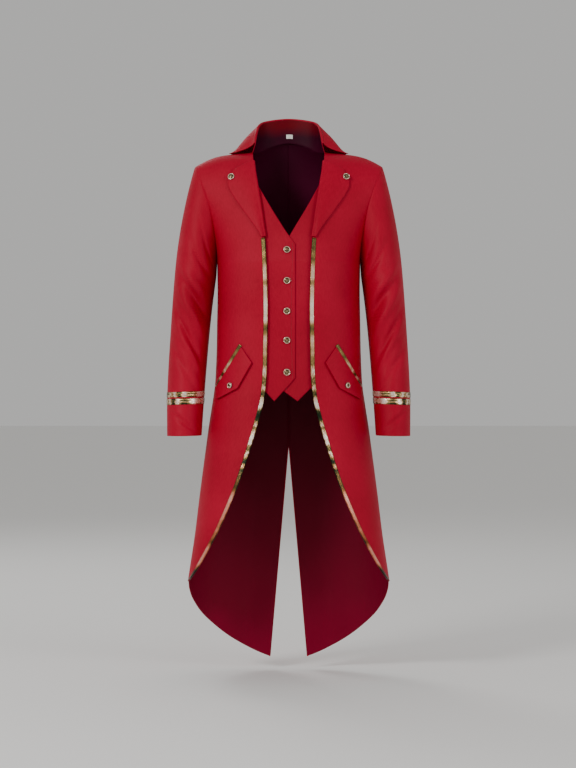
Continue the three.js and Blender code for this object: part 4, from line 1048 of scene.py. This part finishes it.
def antique_brass(tree):
    """Brass, cast and aged in patches of patina, with painted highlights on the rim and the dome's
    middle, and painted shade under its back and in the groove, and a painted dark reflection on the
    dome's outer part.
    """
    wear, fine = mottle(tree, 3.5, 4), mottle(tree, 0.9, 2)
    # The way along the button's outline, from its shank at 0 to the middle of its dome at 1.
    flat_place = add_node(tree, "ShaderNodeUVMap", uv_map="cloth")
    outline = add_node(tree, AXES, [flat_place]).outputs["Y"]
    way = add_node(tree, RANGE, (outline, 0, BUTTON["outline"] * 1e-3, 0, 1))
    worn = add_node(tree, RANGE, (wear, 0, 1, -0.03, 0.03))
    way = add_node(tree, MATH, (way, worn), operation="ADD")
    # The ramp along the outline paints light: shade under the back, a near-white highlight on the rim,
    # near-black shade in the groove, a dark olive reflection on the dome and a highlight in its middle.
    rim = (0.4, "#3a3020"), (0.5, "#ffeedc"), (0.6, "#fbe2c8")
    groove = (0.665, "#15180c"), (0.73, "#5c5a3c")
    colour = add_node(tree, RAMP, [way], (*rim, *groove, (0.86, "#a8906c"), (1.0, "#fff0dc")))
    patina_and_dark_reflections = add_node(tree, RANGE, (wear, 0.45, 0.75, 0.0, 0.35))
    aged = {0: patina_and_dark_reflections, 6: colour, 7: linear("#7a6240")}
    return {
        "Base Color": add_node(tree, MIX, aged, data_type="RGBA").outputs[2],
        "Metallic": 1.0,
        "Roughness": add_node(tree, RANGE, (wear, 0, 1, 0.14, 0.34)),
        "Normal": add_node(tree, BUMP, {"Height": fine, "Distance": 0.06e-3, "Strength": 0.5}),
    }


def acetate_lining(tree):
    """Acetate lining, plain woven from smooth filament: thin, dark and slightly glossy."""
    # The real threads are 0.1 mm apart. They are drawn at 1.4 mm, so that they show.
    warp, weft = ridges(tree, 1, 0, 1.4), ridges(tree, 0, 1, 1.4)
    threads = add_node(tree, MATH, (warp, weft), operation="MULTIPLY")
    cloud = mottle(tree, 60, 3)
    shade = add_node(tree, MATH, (threads, 0.05, cloud), operation="MULTIPLY_ADD")
    # Painted shade: the colour is deepest in the neck and paler down to the tails, and redder at the
    # top of the collar's stand, as the shell cloth looks there in shade.
    place = add_node(tree, "ShaderNodeTexCoord").outputs["Object"]
    height = add_node(tree, AXES, [place]).outputs["Z"]
    depth = add_node(tree, RANGE, (height, -1.2, 0.085, 1.0, 0.0))
    uneven = add_node(tree, RANGE, (shade, 0, 1, -0.01, 0.01))
    depth = add_node(tree, MATH, (depth, uneven), operation="ADD")
    neck = (0.014, "#640212"), (0.036, "#34031a"), (0.15, "#56062c")
    return {
        "Base Color": add_node(tree, RAMP, [depth], (*neck, (0.5, "#50051a"), (1.0, "#7c0426"))),
        "Roughness": add_node(tree, RANGE, (cloud, 0, 1, 0.58, 0.46)),
        "Specular IOR Level": 0.07,
        "Normal": add_node(tree, BUMP, {"Height": threads, "Distance": 0.06e-3, "Strength": 0.5}),
    }


def taffeta_label(tree):
    """Polyester taffeta, heat cut: a bright, flat, finely ribbed white."""
    # The real ribs are 0.2 mm apart. They are drawn at 0.8 mm, so that they show.
    ribs, cloud = ridges(tree, 0, 1, 0.8), mottle(tree, 3, 2)
    shade = add_node(tree, MATH, (ribs, 0.12, cloud), operation="MULTIPLY_ADD")
    return {
        "Base Color": add_node(tree, RAMP, [shade], ((0.3, "#d9d4cb"), (0.7, "#f6f4ee"))),
        "Roughness": 0.62,
        "Normal": add_node(tree, BUMP, {"Height": ribs, "Distance": 0.08e-3, "Strength": 0.6}),
    }


def sewing_thread(tree):
    """Spun polyester thread: round, matt and a little darker than the cloth beside it."""
    twist = mottle(tree, 0.7, 2)
    return {
        "Base Color": add_node(tree, RAMP, [twist], ((0.3, "#540615"), (0.7, "#8c0a24"))),
        "Roughness": 0.6,
        "Sheen Weight": 0.2,
    }


def matt_paint(tree):
    """Matt wall paint: an even, pale ground without gloss."""
    return {"Base Color": linear("#f0efed"), "Roughness": 0.8}


RIBBON_PATTERN = 8.4  # the width of the ribbon's pattern
CLOTH_FINISH = material("worsted satin twill, crimson", satin_twill)
LINING_FINISH = material("acetate lining, wine", acetate_lining)
RIBBON_FINISH = material("lame ribbon, gilt foil", foil_ribbon)
BRASS_FINISH = material("antique brass, cast and aged", antique_brass)
LABEL_FINISH = material("polyester taffeta, white", taffeta_label)
THREAD_FINISH = material("polyester thread, crimson", sewing_thread)


# Putting the coat together
ROOT = "root"
SIDES = {"left": np.ones(3), "right": FLIP}
SEAM_DIP = dict(depth=0.55, reach=2.2)
RIBBON_WIDTH = 12.5  # the width of the ribbon that the cuff tapes are cut from
# Where each ribbon's pattern starts along it
RIBBON_START = dict(cuff_tape_upper=40, cuff_tape_lower=57, welt=20)


def seam_dip(sheet, top=0, end=0, start=0):
    """How far the outer face sinks beside the sewn edges of a sheet, which have 1."""
    across = sheet.across[:, : sheet.points.shape[1]]
    edges = ((top, sheet.down), (end, across[:, -1:] - across), (start, across))
    sink = [sewn * np.exp(-((away / SEAM_DIP["reach"]) ** 2)) for sewn, away in edges]
    return -SEAM_DIP["depth"] * np.max(sink, axis=0)


# The slot of each finish, and the last word of the pieces' names
SLOTS = {
    CLOTH_FINISH: ("shell_cloth", "cloth"),
    LINING_FINISH: ("lining", "lining"),
    RIBBON_FINISH: ("metallic_tape", "ribbon"),
    BRASS_FINISH: ("antique_brass", "brass"),
    LABEL_FINISH: ("label", "taffeta"),
}


def dress(obj, node, flat=None):
    """Puts a finished piece in place of its CAD node. flat is its cut (width, length, area); it is not
    used.
    """
    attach(obj, ROOT)
    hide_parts(node)
    return obj


def sew(node, finish, sheet, outer, inner, held="stretched", name=None):
    """A wall in place of its CAD node. Only a piece that is held has its flat cut worked out; one that
    isn't held is too narrow to need it.
    """
    piece = wall(name or f"{node}_{SLOTS[finish][1]}", sheet, outer, inner, finish)
    return dress(piece, node, sheet.flat() if held else None)


def strip_size(rings):
    """The (width, length, area) of a strip that is swept along closed rings, in metres."""
    width = np.linalg.norm(np.diff(rings, axis=1), axis=-1).sum(axis=1) / 2
    step = np.linalg.norm(np.diff(rings, axis=0), axis=-1).mean(axis=1)
    area = ((width[1:] + width[:-1]) / 2 * step).sum()
    return width.max() * 1e-3, step.sum() * 1e-3, area * 1e-6


def along_ribbon(obj, width, start):
    """Turns a ribbon's flat coordinates, so that they run along it and its width fits the pattern."""
    layer = obj.data.uv_layers["cloth"].data
    uvs = np.empty(2 * len(layer), np.float32)
    layer.foreach_get("uv", uvs)
    turned = uvs.reshape(-1, 2)[:, ::-1] * (RIBBON_PATTERN / width, 1) + (0, start * 1e-3)
    layer.foreach_set("uv", turned.astype(np.float32).ravel())


def give_lining(obj, sheet, outer=False, inner=False, rim=slice(0)):
    """Gives the lining to the marked cells of a wall's two faces, and to a stretch of its rim."""
    down, across = sheet.points.shape[0] - 1, sheet.points.shape[1] - (not sheet.closed)
    cells, around = down * across, 2 * (down + across)
    index = np.zeros(len(obj.data.polygons), np.int32)
    for first, marks in ((0, outer), (cells, inner)):
        marks = np.broadcast_to(marks, sheet.points.shape[:2])
        index[first : first + cells] = marks[:down, :across].ravel()
    for first in (2 * cells, 2 * cells + around):
        index[first : first + around][rim] = 1
    obj.data.materials.append(LINING_FINISH)
    obj.data.polygons.foreach_set("material_index", index)


def button(node, x, z, height_on, radius, mirror=1):
    """A shank button, turned about its middle: a flat back, a beaded rim and a low dome."""
    (at,), (facing,) = (found * mirror for found in on_front([x], [z], height_on))
    height, shank, lift = BUTTON["height"], BUTTON["shank_radius"], BUTTON["shank_height"]
    rim, bead, dome = lift + 1.1, 0.085 * radius, 0.79 * radius
    profile = [(0.05, 0), (shank * 0.8, 0), (shank, 0.2), (shank, lift - 0.15), (shank + 0.4, lift)]
    profile += [(radius * 0.9, lift), (radius * 0.975, lift + 0.15)]
    for turn in np.radians(np.linspace(-60, 190, 14)):
        profile.append((radius - bead + bead * math.cos(turn), rim + 0.25 + bead * math.sin(turn)))
    for turn in np.radians(np.linspace(0, 90, 16)[:-1]):
        profile.append((dome * math.cos(turn), rim + 0.05 + (height - rim) * math.sin(turn)))
    profile.append((0.05, height))
    turn = np.linspace(0, 2 * np.pi, 65)[:-1, None]
    side = unit(np.cross(facing, UP))
    spoke = np.cos(turn) * side + np.sin(turn) * np.cross(side, facing)
    rings = np.stack([at + spoke * r + facing * h for r, h in profile])
    dress(swept(f"{node}_brass", rings, BRASS_FINISH), node)


def stitch_tree():
    """Stitches along a line of edges: small rounded dashes, evenly spaced, lying along it."""
    tree = bpy.data.node_groups.new("row of stitches", "GeometryNodeTree")
    sockets = {}
    for name, kind in (
        ("Line", "NodeSocketGeometry"),
        ("Spacing", "NodeSocketFloat"),
        ("Length", "NodeSocketFloat"),
        ("Width", "NodeSocketFloat"),
        ("Thread", "NodeSocketMaterial"),
    ):
        sockets[name] = tree.interface.new_socket(name, in_out="INPUT", socket_type=kind).identifier
    tree.interface.new_socket("Stitches", in_out="OUTPUT", socket_type="NodeSocketGeometry")
    given = add_node(tree, "NodeGroupInput").outputs
    curve = add_node(tree, "GeometryNodeMeshToCurve", {"Mesh": given["Line"]}).outputs["Curve"]
    spaced = {"Curve": curve, "Length": given["Spacing"]}
    places = add_node(tree, "GeometryNodeCurveToPoints", spaced, mode="LENGTH").outputs
    small = {"Segments": 6, "Rings": 5, "Radius": 0.5}
    dash = add_node(tree, "GeometryNodeMeshUVSphere", small).outputs["Mesh"]
    extent = {"X": given["Width"], "Y": given["Width"], "Z": given["Length"]}
    inputs = {
        "Points": places["Points"],
        "Instance": add_node(tree, "GeometryNodeSetShadeSmooth", {0: dash}).outputs[0],
        "Rotation": places["Rotation"],
        "Scale": add_node(tree, "ShaderNodeCombineXYZ", extent).outputs["Vector"],
    }
    placed = add_node(tree, "GeometryNodeInstanceOnPoints", inputs).outputs["Instances"]
    real = add_node(tree, "GeometryNodeRealizeInstances", {"Geometry": placed}).outputs["Geometry"]
    inputs = {"Geometry": real, "Material": given["Thread"]}
    finished = add_node(tree, "GeometryNodeSetMaterial", inputs).outputs["Geometry"]
    add_node(tree, "NodeGroupOutput", {"Stitches": finished})
    return tree, sockets


STITCH_TREE, STITCH_INPUTS = stitch_tree()


def stitches(name, path):
    """A row of stitches along a path of points."""
    mesh = bpy.data.meshes.new(name)
    mesh.from_pydata((path * 1e-3).tolist(), [(i, i + 1) for i in range(len(path) - 1)], [])
    line = put_in_scene(name + "_line", mesh)
    modifier = line.modifiers.new("stitches", "NODES")
    modifier.node_group = STITCH_TREE
    modifier[STITCH_INPUTS["Spacing"]] = STITCH["pitch"] * 1e-3
    modifier[STITCH_INPUTS["Length"]] = STITCH["length"] * 1e-3
    modifier[STITCH_INPUTS["Width"]] = STITCH["width"] * 1e-3
    modifier[STITCH_INPUTS["Thread"]] = THREAD_FINISH
    bpy.context.view_layer.update()
    evaluated = line.evaluated_get(bpy.context.evaluated_depsgraph_get())
    obj = put_in_scene(name, bpy.data.meshes.new_from_object(evaluated))
    bpy.data.objects.remove(line)
    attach(obj, ROOT)


def path_inside(sheet, distance):
    """A path down a sheet, a distance inside its first column and clear of both its ends."""
    rows = np.arange(STITCH["end_rows"], sheet.points.shape[0] - STITCH["end_rows"], dtype=float)
    every = np.arange(sheet.points.shape[1])
    columns = [np.interp(distance, sheet.across[int(row)], every) for row in rows]
    at, facing = sheet.at(rows, np.array(columns))
    return at + facing * STITCH["lift"]


front, back, sleeve = front_sheet(), back_sheet(), sleeve_sheet()
meet_at_armhole(front, back, sleeve)
lining, collar = lining_sheet(back), collar_sheet(front)
lapel, flap, welt = lapel_sheet(), flap_sheet(), welt_sheet()
tape_rings = edge_tape_rings(front)
waistcoats = {
    "left": waistcoat_sheet(WAISTCOAT_LEFT, WAISTCOAT_DEPTH["underlap"]),
    "right": waistcoat_sheet(WAISTCOAT_RIGHT, 0),
}

for side, mirror in SIDES.items():
    sheet = front.on(mirror)
    piece = sew(f"front_{side}", CLOTH_FINISH, sheet, seam_dip(sheet, top=1, end=1), -CLOTH)
    give_lining(piece, sheet, inner=sheet.across > FACING["front"])
    sheet = back.on(mirror)
    piece = sew(f"back_{side}", CLOTH_FINISH, sheet, seam_dip(sheet, top=1, end=1, start=1), -CLOTH)
    give_lining(piece, sheet, rim=slice(FINE["neck"]))
    sheet, face, name = lining.on(mirror), -CLOTH - LINING_SEAT["gap"], f"back_{side}_lining"
    sew(f"back_lining_{side}", LINING_FINISH, sheet, face, face - LINING, name=name)

    sheet = sleeve.on(mirror)
    piece = sew(f"sleeve_{side}", CLOTH_FINISH, sheet, seam_dip(sheet, top=1), -CLOTH)
    give_lining(piece, sheet, inner=sheet.down[-1] - sheet.down >= FACING["cuff"])
    for tape, rows in CUFF_TAPES.items():
        crown = np.sin(np.linspace(0.5, np.pi - 0.5, CUFF_TAPE_LINES)) ** CUFF_TAPE["roundness"]
        outer = CUFF_TAPE["edge"] + TAPE * crown[:, None]
        ring = cuff_tape_sheet(sleeve, rows).on(mirror)
        piece = sew(f"{tape}_{side}", RIBBON_FINISH, ring, outer, CUFF_TAPE["back"])
        along_ribbon(piece, RIBBON_WIDTH, RIBBON_START[tape])

    sew(f"lapel_{side}", CLOTH_FINISH, lapel.on(mirror), CLOTH / 2, -CLOTH / 2, "folded")
    node = f"edge_tape_{side}"
    piece = swept(f"{node}_ribbon", tape_rings * mirror, RIBBON_FINISH)
    dress(piece, node, strip_size(tape_rings))
    sew(f"pocket_flap_{side}", CLOTH_FINISH, flap.on(mirror), FLAP["thickness"], 0, "hung")
    node = f"pocket_welt_{side}"
    piece = sew(node, RIBBON_FINISH, welt.on(mirror), WELT["thickness"], 0, held=None)
    along_ribbon(piece, WELT["width"], RIBBON_START["welt"])

    sheet = waistcoats[side].on(mirror)
    piece = sew(f"waistcoat_front_{side}", CLOTH_FINISH, sheet, 0, -CLOTH)
    give_lining(piece, sheet, inner=True)
    stitches(f"waistcoat_front_{side}_stitches", path_inside(sheet, STITCH["inset"]))
    button(f"lapel_button_{side}", **LAPEL_BUTTON, radius=BUTTON["large"], mirror=mirror)
    button(f"flap_button_{side}", **FLAP_BUTTON, radius=BUTTON["small"], mirror=mirror)

piece = sew("collar", CLOTH_FINISH, collar, CLOTH / 2, -CLOTH / 2, "folded")
# The stand's inside takes the lining, and its dark colour there is painted shade.
on_stand = np.arange(collar.points.shape[1]) < COLLAR_GRID["stand"] - 1
give_lining(piece, collar, outer=on_stand, rim=slice(1 - len(collar.points), None))
seat = CLOTH / 2 + LABEL["gap"]
sew("neck_label", LABEL_FINISH, label_sheet(collar), seat + LABEL["thickness"], seat, held=None)
for i, z in enumerate(WAISTCOAT_BUTTONS["z"]):
    x, height_on = WAISTCOAT_BUTTONS["x"], WAISTCOAT_BUTTONS["height_on"]
    button(f"waistcoat_button_{i + 1}", x, z, height_on, BUTTON["large"])


# The camera, floor and light
camera_data = bpy.data.cameras.new("camera")
camera_data.sensor_width = 36
camera_data.lens = 99.73
camera = put_in_scene("camera", camera_data)
camera.location = (-0.0016, -5.0, -0.5452)
camera.rotation_euler = (math.radians(90), 0, 0)
bpy.context.scene.camera = camera

floor_mesh = bpy.data.meshes.new("floor")
reach, floor_z = 30, -1.235
corners = [(-reach, -reach), (reach, -reach), (reach, reach), (-reach, reach)]
floor_mesh.from_pydata([(x, y, floor_z) for x, y in corners], [], [(0, 1, 2, 3)])
floor_mesh.materials.append(material("painted studio floor, pale", matt_paint))
put_in_scene("floor", floor_mesh)


def area_light(name, place, target_z, size, power):
    """A square light that shines on a point of the coat's upright axis."""
    data = bpy.data.lights.new(name, "AREA")
    data.size, data.energy = size, power
    light = put_in_scene(name, data)
    light.location = place
    x, y, drop = place[0], place[1], place[2] - target_z
    light.rotation_euler = (math.atan2(math.hypot(x, y), drop), 0, math.atan2(-y, -x) - math.pi / 2)


area_light("key", (-2.6, -3.3, 1.5), -0.5, 1.1, 92)
area_light("fill", (3.0, -3.0, 0.4), -0.6, 1.6, 36)
area_light("back", (-1.7, 3.2, 2.2), -0.4, 1.6, 44)
world = bpy.data.worlds.new("studio")
world.use_nodes = True
background = world.node_tree.nodes["Background"]
set_inputs(background, {"Color": linear("#f4f3f1"), "Strength": 0.55})
bpy.context.scene.world = world
